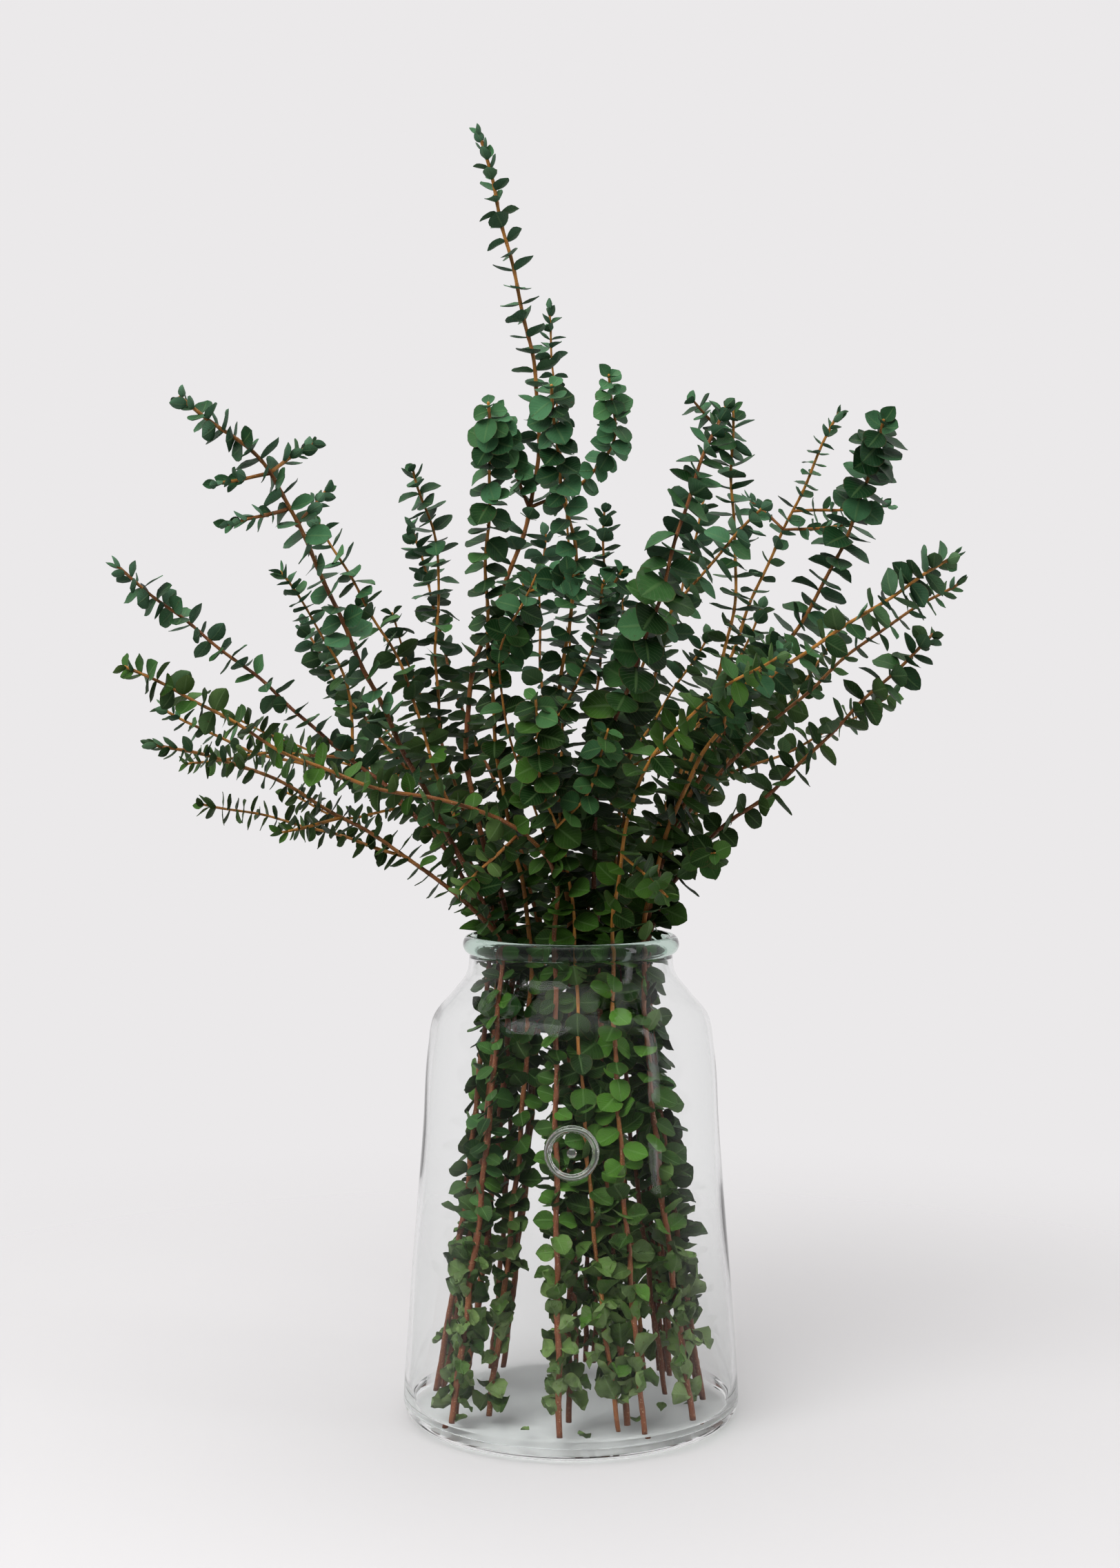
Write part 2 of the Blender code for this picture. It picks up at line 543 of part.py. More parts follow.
def frames(points):
    """Unit tangents and two cross directions at each point of a broken line."""
    tangents = unit(np.gradient(points, axis=0))
    side = np.cross(tangents, (0.31, 0.95, 0.05))
    side = unit(side)
    return tangents, side, np.cross(tangents, side)


def make_stem(chain, name, finish):
    """A tapering tube with flat ends round the chain's points; a stem's foot is cut level."""
    tangents, side, across = frames(chain.points)
    vertices = []
    for number, (point, radius) in enumerate(zip(chain.points, chain.radii())):
        for corner in range(chain.sides):
            turn = 2 * math.pi * corner / chain.sides
            vertex = point + radius * (math.cos(turn) * side[number] + math.sin(turn) * across[number])
            if number == 0 and chain.parent is None:
                vertex = vertex + tangents[0] * (point[2] - vertex[2]) / tangents[0][2]
            vertices.append(vertex)
    faces = [tuple(range(chain.sides - 1, -1, -1))]
    for ring in range(len(chain.points) - 1):
        for corner in range(chain.sides):
            low = ring * chain.sides + corner
            following = ring * chain.sides + (corner + 1) % chain.sides
            faces.append((low, following, following + chain.sides, low + chain.sides))
    faces.append(tuple(range((len(chain.points) - 1) * chain.sides, len(chain.points) * chain.sides)))
    return solid(name, vertices, faces, finish)


# Leaves

# Half outline of a blade from its root to its end: share of its length, share of its width
BLADE_OUTLINE = [(0.34, 0.48), (0.94, 0.22)]


def pair_corners(root, ways, size, width_share, margin=0.0):
    """Corners of both faces of two opposite blades that meet in a narrow waist inside the stem,
    swollen by a margin on every side."""
    out, width_way, axis, lift = ways
    half = BLADE_THICKNESS / 2 + margin
    waist = WAIST / 2 + margin
    height = half / math.cos(lift)
    corners = [root + width_way * side * waist + axis * face * height for face in (-1, 1) for side in (-1, 1)]
    for wing in (1.0, -1.0):
        direction = math.cos(lift) * wing * out + math.sin(lift) * axis
        face_way = unit(axis - direction * np.dot(axis, direction))
        for face in (-1, 1):
            for side in (-1, 1):
                for share, width in BLADE_OUTLINE:
                    forward = share * size + (margin if share > 0.5 else 0.0)
                    sideways = side * (width * width_share * size + margin)
                    corners.append(root + direction * forward + width_way * sideways + face_way * face * half)
    return corners


def pair_faces():
    """Faces of a closed pair of blades. Corners 0 to 3 are the waist; then come, for each wing, the
    lower and the upper face, each with its left and right half outline."""
    points = len(BLADE_OUTLINE)
    faces = []
    for wing in (0, 1):
        rims = []
        for face in (0, 1):
            start = 4 + (wing * 2 + face) * 2 * points
            left = list(range(start, start + points))
            right = list(range(start + points, start + 2 * points))
            if wing == 0:
                rims.append([face * 2] + left + right[::-1] + [face * 2 + 1])
            else:
                rims.append([face * 2 + 1] + right + left[::-1] + [face * 2])
        lower, upper = rims
        faces.append(tuple(lower[::-1]))
        faces.append(tuple(upper))
        for first in range(len(upper) - 1):
            second = first + 1
            faces.append((lower[first], lower[second], upper[second], upper[first]))
    return faces


def habit_of(chain):
    """How the leaves of a stem stand, or those of its twigs where they differ."""
    own = LEAF_HABIT.get(chain.branch, USUAL_HABIT)
    return own if chain.parent is None else LEAF_HABIT.get(chain.branch + "_twigs", own)


def leaf_pairs(chain, number):
    """Places, directions and sizes of the opposite leaves on a chain, from the tip down. The pairs
    are set almost crosswise to each other, and the youngest stand up and are smaller."""
    droop, width_share, young_end, widest_roll, facing, spacing = habit_of(chain)
    young_end *= MM * (1.0 if chain.parent is None else TWIG_YOUNG_SHARE)
    length = length_of(chain.points)
    pairs = []
    place = length - 0.002
    index = 0
    while place > 0.012:
        from_tip = length - place
        root = broken_point(chain.points, place)
        ahead = broken_point(chain.points, min(place + 0.004, length))
        behind = broken_point(chain.points, max(place - 0.004, 0.0))
        axis = unit(ahead - behind)
        young = max(0.0, 1.0 - from_tip / young_end)
        size = BUD_LENGTH + (chain.leaf - BUD_LENGTH) * (1.0 - young) ** 0.7
        in_jar = chain.parent is None and root[2] < JAR_LEAF_TOP
        lift = droop + spread(-18, 18, number, index, 1) + 50 * young**1.5 + (30 if in_jar else 0)
        lift = math.radians(min(STEEPEST_LEAF, lift))
        turn = index * math.pi / 2 + spread(-0.45, 0.45, number, index, 2) + number * 1.3
        size *= spread(0.85, 1.12, number, index, 3) * (JAR_LEAF_SHARE if in_jar else 1.0)
        if not in_jar or (root[2] > JAR_LEAF_FOOT and number % 3 == 0):
            roll = math.radians(widest_roll) * spread(-1, 1, number, index, 5)
            pairs.append((index, root, axis, turn, lift, roll, math.radians(facing), size, width_share))
        place -= PAIR_SPACING * spacing * pair_step(from_tip)
        index += 1
    return pairs


def pair_step(from_tip):
    """Share of the full spacing between two pairs at a distance from the tip."""
    return TIP_SPACING_SHARE + (1.0 - TIP_SPACING_SHARE) * min(1.0, from_tip / FULL_SPACING_FROM_TIP)


def broken_point(points, place):
    """The point at a distance along a broken line."""
    marks = np.concatenate(([0.0], np.cumsum(np.linalg.norm(np.diff(points, axis=0), axis=1))))
    return np.array([np.interp(place, marks, points[:, axis]) for axis in range(3)])


def pair_ways(root, axis, turn, lift, roll, facing):
    """Outward way, width way and axis of a pair that leaves its stem at a turn, tilted by a roll and
    turned by up to the facing angle so that its upper faces look away from the middle of the bunch."""
    side = unit(np.cross(axis, (0.31, 0.95, 0.05)))
    out = math.cos(turn) * side + math.sin(turn) * np.cross(axis, side)
    level = np.cross(axis, out)
    roll -= facing * np.dot(level, unit(root * (1.0, 1.0, 0.0)))
    return (out, math.cos(roll) * level + math.sin(roll) * axis,
            math.cos(roll) * axis - math.sin(roll) * level, lift)


def tree_of(vertices, faces):
    """A search tree of a mesh."""
    return BVHTree.FromPolygons([Vector(vertex) for vertex in vertices], faces)


def swollen_tube(chain, margin):
    """Search tree of a square tube that is wider than the chain by a margin."""
    tangents, side, across = frames(chain.points)
    vertices = []
    for number, (point, radius) in enumerate(zip(chain.points, chain.radii())):
        wide = (radius + margin) * math.sqrt(2)
        for turn in (math.pi / 4 + quarter * math.pi / 2 for quarter in range(4)):
            vertices.append(point + wide * (math.cos(turn) * side[number] + math.sin(turn) * across[number]))
    faces = []
    for ring in range(len(chain.points) - 1):
        for corner in range(4):
            low = ring * 4 + corner
            following = ring * 4 + (corner + 1) % 4
            faces.append((low, following, following + 4, low + 4))
    return tree_of(vertices, faces)


def choose_pairs(chains, jar):
    """The pairs that go into the solids: every few of each chain, from the tips down, turned or left
    out where they would touch another branch, another pair or the glass."""
    tubes = [swollen_tube(chain, LEAF_GAP) for chain in chains]
    glass = BVHTree.FromObject(jar, bpy.context.evaluated_depsgraph_get())
    faces = pair_faces()
    taken = []
    chosen = {name: [] for name in BRANCHES}
    for number, chain in enumerate(chains):
        for index, root, axis, turn, lift, roll, facing, size, width_share in leaf_pairs(chain, number):
            if index % PAIRS_PER_SOLID_PAIR != FIRST_SOLID_PAIR:
                continue
            near = [tube for tube, other in zip(tubes, chains) if not grows_with(other, chain, root)]
            near += [tree for there, tree in taken if np.linalg.norm(root - there) < PAIR_REACH]
            for shift in TURNS_TRIED:
                ways = pair_ways(root, axis, turn + shift, lift, roll, facing)
                guard = tree_of(pair_corners(root, ways, size, width_share, LEAF_GAP), faces)
                if any(guard.overlap(tree) for tree in (glass, *near)):
                    continue
                taken.append((root, guard))
                chosen[chain.branch].append((root, ways, size, width_share))
                break
    return chosen


def grows_with(other, chain, root):
    """True for the pair's own chain, and for one of the same branch so close to the pair's root that
    blade and twig grow together."""
    if other.branch != chain.branch:
        return False
    return other is chain or np.min(np.linalg.norm(other.points - root, axis=1)) < GROWN_TOGETHER


def make_branch(name, chains, pairs, finish):
    """One leafy stem: its tube, its twigs and its pairs of blades joined in a single body."""
    own = [chain for chain in chains if chain.branch == name]
    stem = make_stem(own[0], name, finish)
    growth = bpy.data.collections.new(name + "_growth")
    for number, twig in enumerate(own[1:]):
        growth.objects.link(make_stem(twig, f"{name}_twig_{number}", finish))
    for number, pair in enumerate(pairs):
        growth.objects.link(solid(f"{name}_pair_{number}", pair_corners(*pair), pair_faces(), finish))
    apply_union(stem, growth, "MANIFOLD")
    return stem


def build():
    """The whole bunch in its jar."""
    for old in list(bpy.data.objects):
        bpy.data.objects.remove(old)
    glass = material("clear glass", (0.86, 0.89, 0.88), 0.03, 1.0)
    greens = [material("deep green leaf", (0.045, 0.085, 0.030), 0.62),
              material("grey green leaf", (0.085, 0.125, 0.060), 0.66),
              material("olive leaf", (0.100, 0.120, 0.040), 0.62)]
    jar = make_jar(glass)
    chains = lay_chains()
    if settle(chains) <= 0.0:
        raise ValueError("two branches touch")
    pairs = choose_pairs(chains, jar)
    for number, name in enumerate(BRANCHES):
        make_branch(name, chains, pairs[name], greens[number % len(greens)])


build()
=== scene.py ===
import json
import math

import bpy
import numpy as np
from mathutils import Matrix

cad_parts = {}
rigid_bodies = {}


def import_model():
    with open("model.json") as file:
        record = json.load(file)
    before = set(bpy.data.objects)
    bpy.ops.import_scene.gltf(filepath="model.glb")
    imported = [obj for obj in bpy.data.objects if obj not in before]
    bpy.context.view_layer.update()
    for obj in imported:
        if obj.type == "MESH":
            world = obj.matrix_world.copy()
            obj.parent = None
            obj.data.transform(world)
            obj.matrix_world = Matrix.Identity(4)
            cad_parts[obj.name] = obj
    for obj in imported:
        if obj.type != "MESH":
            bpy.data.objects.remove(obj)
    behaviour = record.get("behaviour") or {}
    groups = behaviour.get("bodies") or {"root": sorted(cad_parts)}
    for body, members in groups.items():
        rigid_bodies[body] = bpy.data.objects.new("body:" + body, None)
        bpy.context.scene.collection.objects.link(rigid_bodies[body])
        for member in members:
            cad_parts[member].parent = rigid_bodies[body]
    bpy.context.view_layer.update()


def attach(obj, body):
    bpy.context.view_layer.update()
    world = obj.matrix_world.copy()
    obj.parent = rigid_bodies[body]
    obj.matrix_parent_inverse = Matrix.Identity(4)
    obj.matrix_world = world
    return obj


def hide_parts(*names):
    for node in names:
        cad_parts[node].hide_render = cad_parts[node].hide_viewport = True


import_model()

# Camera
# A plain view from the front, at the height of the upper leaves and turned slightly down. At the
# jar's axis one pixel of the photograph's frame, 2273 pixels high, is half a millimetre.
PHOTO_HEIGHT = 2273
PIXELS_PER_SLOPE = 3300
TURNED_DOWN = 1.76
camera_data = bpy.data.cameras.new("camera")
camera_data.sensor_width = 36.0
camera_data.lens = camera_data.sensor_width * PIXELS_PER_SLOPE / PHOTO_HEIGHT
camera_data.clip_start = 0.05
camera_data.clip_end = 60.0
camera = bpy.data.objects.new("camera", camera_data)
camera.location = (-0.008, -1.65, 0.51)
camera.rotation_euler = (math.radians(90 - TURNED_DOWN), 0.0, 0.0)
bpy.context.scene.collection.objects.link(camera)
bpy.context.scene.camera = camera

# Glass jar
# One piece of clear soda glass, blown in a mould and finished by hand: a broad foot, a wall that
# tapers to a sloped shoulder, a short neck and a collar rolled outwards. A plain round glass seal
# sits on the front wall, and the wall's thickness is slightly uneven.
JAR_HEIGHT = 0.350
FOOT_RADIUS = 0.108
WALL_THICKNESS = 0.0036
FLOOR_THICKNESS = 0.0070
FLOOR_DOME = 0.0040
# Outer wall from the foot to the neck: radius and height
WALL_OUTLINE = [
    (0.1190, 0.0045),
    (0.1222, 0.0140),
    (0.1196, 0.0560),
    (0.1133, 0.1400),
    (0.1077, 0.2100),
    (0.1038, 0.2690),
    (0.1000, 0.2910),
    (0.0858, 0.3090),
    (0.0756, 0.3230),
]
NECK_RADIUS = 0.0735
COLLAR_RADIUS = 0.0785
COLLAR_HEIGHT = 0.0130
SEAL_RADIUS = 0.0185
SEAL_HEIGHT = 0.2110
SEAL_BUTTON = 0.0006
SEAL_BUTTON_EDGE = 0.0010
SEAL_RIM = 0.0034
SEAL_HALF_RIM = 0.0021
SEAL_BOSS = 0.0012
SEAL_BOSS_RADIUS = 0.0032
# The thick glass of the seal reaches this far from the middle of its rim and from its own middle
RIM_GLASS_REACH = 0.0024
BOSS_GLASS_REACH = 0.0034
# Below these heights the outside and the inside are the thick glass of the foot
FOOT_GLASS_OUTSIDE = 0.0040
FOOT_GLASS_INSIDE = 0.0150
# Distances between the outline's points, and the finer levels and columns at the seal
FOOT_SPACING = 0.0022
WALL_SPACING = 0.0040
SEAL_BAND = 0.0225
SEAL_LEVELS_REACH = 0.0205
SEAL_LEVELS = 72
SEAL_TURN = 11.5
SEAL_COLUMNS = 84
OTHER_COLUMNS = 112


class Value:
    """A node's socket in arithmetic: an expression on values adds the Math nodes that work it out."""

    def __init__(self, finish, socket):
        self.finish = finish
        self.socket = socket

    def math(self, operation, *inputs):
        """One Math node."""
        return self.finish.node("ShaderNodeMath", {"operation": operation}, inputs)

    def __add__(self, other):
        return self.math("ADD", self, other)

    def __sub__(self, other):
        return self.math("SUBTRACT", self, other)

    def __mul__(self, other):
        return self.math("MULTIPLY", self, other)

    def __pow__(self, other):
        return self.math("POWER", self, other)

    def __abs__(self):
        return self.math("ABSOLUTE", self)

    def step(self, low, high, start=0.0, end=1.0):
        """Goes smoothly from start to end as this value goes from low to high."""
        return self.finish.node("ShaderNodeMapRange", {"interpolation_type": "SMOOTHSTEP"},
                                (self, low, high, start, end))


class Finish:
    """The nodes of a material, or of the studio's light, and its main shader."""

    def __init__(self, owner, shader="Principled BSDF"):
        owner.use_nodes = True
        self.owner = owner
        self.tree = owner.node_tree
        self.shader = self.tree.nodes[shader]

    def node(self, kind, settings=None, inputs=(), output=0):
        """Adds a node of a type, sets its settings, then fills its sockets in order, or by name or
        number where inputs is a dictionary, and returns one of its outputs."""
        made = self.tree.nodes.new(kind)
        for name, setting in (settings or {}).items():
            setattr(made, name, setting)
        for key, value in inputs.items() if isinstance(inputs, dict) else enumerate(inputs):
            self.fill(made.inputs[key], value)
        return Value(self, made.outputs[output])

    def fill(self, socket, value):
        """Links a value to a socket, or sets the socket's own number or colour."""
        if isinstance(value, Value):
            self.tree.links.new(value.socket, socket)
        elif isinstance(value, tuple) and len(value) < len(socket.default_value):
            socket.default_value = (*value, 1.0)
        else:
            socket.default_value = value

    def mix(self, share, first, second):
        """A colour between two colours."""
        return self.node("ShaderNodeMix", {"data_type": "RGBA"}, {0: share, 6: first, 7: second}, 2)

    def kept(self, name, output="Fac"):
        """A number or a direction kept on the mesh's points."""
        return self.node("ShaderNodeAttribute", {"attribute_name": name}, (), output)

    def parts(self, direction):
        """The three parts of a direction or place."""
        made = self.node("ShaderNodeSeparateXYZ", {}, (direction,)).socket.node
        return [Value(self, output) for output in made.outputs]

    def clouds(self, place, scale, detail=2.0, roughness=0.5):
        """Cloudy noise from 0 to 1 at a place."""
        return self.node("ShaderNodeTexNoise", {}, {"Vector": place, "Scale": scale, "Detail": detail,
                                                    "Roughness": roughness}, "Fac")

    def place(self):
        """The place on the object, in metres."""
        return self.node("ShaderNodeTexCoord", {}, (), "Object")

    def bump(self, height, depth, strength=1.0):
        """A surface direction disturbed by a height of 0 to 1 times a depth in metres."""
        return self.node("ShaderNodeBump", {}, {"Height": height, "Distance": depth, "Strength": strength})

    def set(self, sockets):
        """Fills the main shader's sockets."""
        for name, value in sockets.items():
            self.fill(self.shader.inputs[name], value)


def surface(name, places, faces, finishes, kinds=None, kept=None):
    """A smooth mesh from an array of places and arrays of faces, with the finish that each face has
    and values kept on its points."""
    mesh = bpy.data.meshes.new(name)
    places = places.reshape(-1, 3)
    corners = np.concatenate([group.ravel() for group in faces])
    sides = np.concatenate([np.full(len(group), group.shape[1]) for group in faces])
    mesh.vertices.add(len(places))
    mesh.vertices.foreach_set("co", places.ravel().astype(np.float32))
    mesh.loops.add(len(corners))
    mesh.loops.foreach_set("vertex_index", corners.astype(np.int32))
    mesh.polygons.add(len(sides))
    mesh.polygons.foreach_set("loop_start", (np.cumsum(sides) - sides).astype(np.int32))
    mesh.update(calc_edges=True)
    for finish in finishes:
        mesh.materials.append(finish.owner)
    if kinds is not None:
        mesh.polygons.foreach_set("material_index", kinds.astype(np.int32))
    for label, values in (kept or {}).items():
        whole = values.ndim == 2
        layer = mesh.attributes.new(label, "FLOAT_VECTOR" if whole else "FLOAT", "POINT")
        layer.data.foreach_set("vector" if whole else "value", values.ravel().astype(np.float32))
    mesh.shade_smooth()
    made = bpy.data.objects.new(name, mesh)
    bpy.context.scene.collection.objects.link(made)
    return made


def along(points, places):
    """Points at the given distances along a smooth curve through all the points: on each span a cubic
    whose end slopes are those of the parabola through the three nearest points."""
    points = np.asarray(points, dtype=float)
    marks = np.concatenate(([0.0], np.cumsum(np.linalg.norm(np.diff(points, axis=0), axis=1))))
    slopes = np.gradient(points, marks, axis=0)
    places = np.clip(places, 0.0, marks[-1])
    span = np.clip(np.searchsorted(marks, places, side="right") - 1, 0, len(marks) - 2)
    width = (marks[span + 1] - marks[span])[:, None]
    t = (places - marks[span])[:, None] / width
    return ((2 * t**3 - 3 * t**2 + 1) * points[span] + (t**3 - 2 * t**2 + t) * width * slopes[span]
            + (3 * t**2 - 2 * t**3) * points[span + 1] + (t**3 - t**2) * width * slopes[span + 1])


def length_of(points):
    """The length of the broken line through the points."""
    return float(np.linalg.norm(np.diff(points, axis=0), axis=1).sum())


def evenly(points, spacing):
    """Points about one spacing apart on the smooth curve through the points."""
    length = length_of(points)
    return along(points, np.linspace(0.0, length, max(2, round(length / spacing) + 1)))


def inner_floor(radius):
    """Height of the glass floor: a shallow dome, highest on the axis."""
    return FLOOR_THICKNESS + FLOOR_DOME * (1.0 - np.minimum(1.0, radius / FOOT_RADIUS) ** 2)


def inner_radius(height):
    """Radius of the inside of the jar at a height, straight between the points of its wall."""
    points = [(FOOT_RADIUS + 0.005 + WALL_THICKNESS, FLOOR_THICKNESS + 0.006), *WALL_OUTLINE[2:],
              (NECK_RADIUS, JAR_HEIGHT - 0.004)]
    radii, heights = np.array(points).T
    return np.interp(height, heights, radii) - WALL_THICKNESS


def seal_relief(distance):
    """How far the seal stands out of the wall at a distance from its middle: a low flat button with
    a half-round rim on its edge, and a small half-round boss in its middle."""
    button = SEAL_BUTTON * np.clip((SEAL_RADIUS - distance) / SEAL_BUTTON_EDGE, 0.0, 1.0)
    from_rim = (distance - SEAL_RADIUS + SEAL_HALF_RIM) / SEAL_HALF_RIM
    rim = SEAL_RIM * np.sqrt(np.clip(1.0 - from_rim**2, 0.0, 1.0))
    boss = SEAL_BOSS * np.sqrt(np.clip(1.0 - (distance / SEAL_BOSS_RADIUS) ** 2, 0.0, 1.0))
    return np.maximum(rim, button) + boss


def arc(middle, radii, start, end, count):
    """Points of an ellipse (r, z) between two angles in degrees: middle + (a cos t, b sin t)."""
    turns = np.radians(np.linspace(start, end, count))
    return np.stack((middle[0] + radii[0] * np.cos(turns), middle[1] + radii[1] * np.sin(turns)), axis=1)


def jar_profiles():
    """The glass's outline (r, z): the outside from the underside up to the collar's crest, and the inside
    from there down to the floor. The walls are smooth curves through the given points, the inside one wall
    thickness in, the collar is half an ellipse and the floor a dome."""
    underside = [(0.020, 0.0030), (0.040, 0.0027), (0.080, 0.0014), (0.096, 0.0002), (0.104, 0.0)]
    corner = evenly([(0.104, 0.0), (0.1120, 0.0007), *WALL_OUTLINE[:2]], FOOT_SPACING)[1:-1]
    wall = evenly([*WALL_OUTLINE[1:], (NECK_RADIUS, JAR_HEIGHT - COLLAR_HEIGHT)], WALL_SPACING)
    near_seal = np.abs(wall[:, 1] - SEAL_HEIGHT) < SEAL_BAND
    seal_levels = np.linspace(SEAL_HEIGHT - SEAL_LEVELS_REACH, SEAL_HEIGHT + SEAL_LEVELS_REACH, SEAL_LEVELS)
    seal_wall = np.stack((np.interp(seal_levels, wall[:, 1], wall[:, 0]), seal_levels), axis=1)
    middle = JAR_HEIGHT - COLLAR_HEIGHT / 2
    roll = COLLAR_RADIUS - NECK_RADIUS
    outside = np.concatenate((underside, corner, wall[~near_seal & (wall[:, 1] < SEAL_HEIGHT)], seal_wall,
                              wall[~near_seal & (wall[:, 1] > SEAL_HEIGHT)],
                              arc((NECK_RADIUS, middle), (roll, COLLAR_HEIGHT / 2), -80, 90, 14)))
    inner_wall = (wall - (WALL_THICKNESS, 0.0))[::-1]
    inner_wall = inner_wall[(inner_wall[:, 1] > 0.022) & (inner_wall[:, 1] < middle)]
    edge = FOOT_RADIUS - 0.007
    turn_in = evenly([tuple(inner_wall[-1]), (FOOT_RADIUS + 0.008, 0.0145), (FOOT_RADIUS + 0.002, 0.0092),
                      (edge, inner_floor(edge))], FOOT_SPACING)[1:]
    dome = [(radius, inner_floor(radius)) for radius in (0.090, 0.075, 0.055, 0.035, 0.015)]
    inside = np.concatenate((arc((NECK_RADIUS, middle), (WALL_THICKNESS, COLLAR_HEIGHT / 2), 100, 180, 8),
                             inner_wall, turn_in, dome))
    return outside, inside


def jar_places(outside, inside):
    """The outline turned about the Z axis: x = r cos a, y = r sin a, with columns close together at the
    seal. The outside stands out there by the seal's relief, and both walls swell by a few sines of
    the angle and the height, the inside more than the outside."""
    near = np.radians(np.linspace(-SEAL_TURN, SEAL_TURN, SEAL_COLUMNS))
    far = np.radians(np.linspace(SEAL_TURN, 360 - SEAL_TURN, OTHER_COLUMNS)[1:-1])
    turns = np.concatenate((near, far))
    radius, height = np.concatenate((outside, inside)).T
    height = height[:, None]
    radius = np.repeat(radius[:, None], len(turns), axis=1)
    is_outside = (np.arange(len(radius)) < len(outside))[:, None]
    aside = np.angle(np.exp(1j * turns)) * radius
    on_wall = is_outside & (radius > NECK_RADIUS) & (height > 0.1)
    radius = radius + np.where(on_wall, seal_relief(np.hypot(aside, height - SEAL_HEIGHT)), 0.0)
    uneven = (0.00040 * np.sin(2 * turns + 11 * height) + 0.00025 * np.sin(5 * turns - 23 * height)
              + 0.00010 * np.sin(11 * turns + 47 * height))
    free = np.clip((height - 0.03) / 0.03, 0.0, 1.0) * np.clip((0.335 - height) / 0.02, 0.0, 1.0)
    radius = radius + np.where(is_outside, 0.3, 1.0) * uneven * free
    return np.stack((radius * np.sin(turns), -radius * np.cos(turns), height + 0 * radius), axis=-1)


def ring_faces(rows, columns):
    """Quads between neighbouring rings of points."""
    row, column = np.meshgrid(np.arange(rows - 1), np.arange(columns), indexing="ij")
    following = (column + 1) % columns
    return np.stack((row * columns + column, row * columns + following,
                     (row + 1) * columns + following, (row + 1) * columns + column), axis=-1).reshape(-1, 4)


def fan(ring, middle):
    """Triangles from a ring of points to its middle point."""
    return np.stack((np.full(len(ring), middle), np.roll(ring, -1), ring), axis=1)


def glass(name, face_on, edge_on, bending, polish=0.0):
    """Clear glass, greener and greyer where it is seen edge on, which lets lamp light through. A
    polished face mirrors the room more strongly."""
    finish = Finish(bpy.data.materials.new(name))
    slant = finish.node("ShaderNodeLayerWeight", {}, {"Blend": 0.35}, "Facing")
    finish.set({"Base Color": finish.mix(slant**3, face_on, edge_on), "Roughness": 0.006, "IOR": bending,
                "Transmission Weight": 1.0, "Coat Weight": polish, "Coat IOR": 2.6})
    clear = finish.node("ShaderNodeBsdfTransparent", {}, {"Color": (0.90, 0.92, 0.91)})
    shadow = finish.node("ShaderNodeLightPath", {}, (), "Is Shadow Ray")
    both = finish.node("ShaderNodeMixShader", {}, (shadow, Value(finish, finish.shader.outputs[0]), clear))
    finish.tree.links.new(both.socket, finish.tree.nodes["Material Output"].inputs["Surface"])
    return finish


outside, inside = jar_profiles()
jar_rings = jar_places(outside, inside)
rings, columns = jar_rings.shape[:2]
poles = np.array([(0.0, 0.0, 0.0030), (0.0, 0.0, inner_floor(0.0))])
last_ring = (rings - 1) * columns + np.arange(columns)
jar_faces = [ring_faces(rings, columns), fan(np.arange(columns), rings * columns),
             fan(last_ring[::-1], rings * columns + 1)]
# How strongly each glass bends light is set from the photograph: the wall and the foot hardly show, the
# rolled collar is thick and green, and the seal is thick and bright.
WALL, COLLAR, SEAL, FOOT = range(4)
jar_glass = [glass("wall_glass", (0.965, 0.972, 0.970), (0.60, 0.63, 0.62), 1.20),
             glass("collar_glass", (0.58, 0.71, 0.64), (0.17, 0.33, 0.25), 1.34),
             glass("seal_glass", (0.93, 0.96, 0.95), (0.70, 0.78, 0.75), 1.60, polish=1.0),
             glass("foot_glass", (0.94, 0.945, 0.945), (0.80, 0.81, 0.81), 1.02)]
outline = np.concatenate((outside, inside))
middle_height = (outline[:-1, 1] + outline[1:, 1]) / 2
on_outside = np.arange(rings - 1) < len(outside)
is_foot = (middle_height < np.where(on_outside, FOOT_GLASS_OUTSIDE, FOOT_GLASS_INSIDE))[:, None]
is_collar = (middle_height > JAR_HEIGHT - COLLAR_HEIGHT)[:, None]
middles = (jar_rings[:-1] + jar_rings[1:]) / 2
middles = (middles + np.roll(middles, -1, axis=1)) / 2
from_seal = np.hypot(middles[..., 0], middles[..., 2] - SEAL_HEIGHT)
from_rim = np.abs(from_seal - SEAL_RADIUS + SEAL_HALF_RIM)
is_seal = (from_rim < RIM_GLASS_REACH) | (from_seal < BOSS_GLASS_REACH)
is_seal = is_seal & (middles[..., 1] < 0) & (np.arange(rings - 1) < len(outside) - 1)[:, None]
ring_kinds = np.where(is_foot, FOOT, np.where(is_collar, COLLAR, np.where(is_seal, SEAL, WALL)))
jar_kinds = np.concatenate((ring_kinds.ravel(), np.full(2 * columns, FOOT)))
jar_points = np.concatenate((jar_rings.reshape(-1, 3), poles))
jar = surface("glass_jar", jar_points, jar_faces, jar_glass, jar_kinds)
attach(jar, "root")
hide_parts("jar")

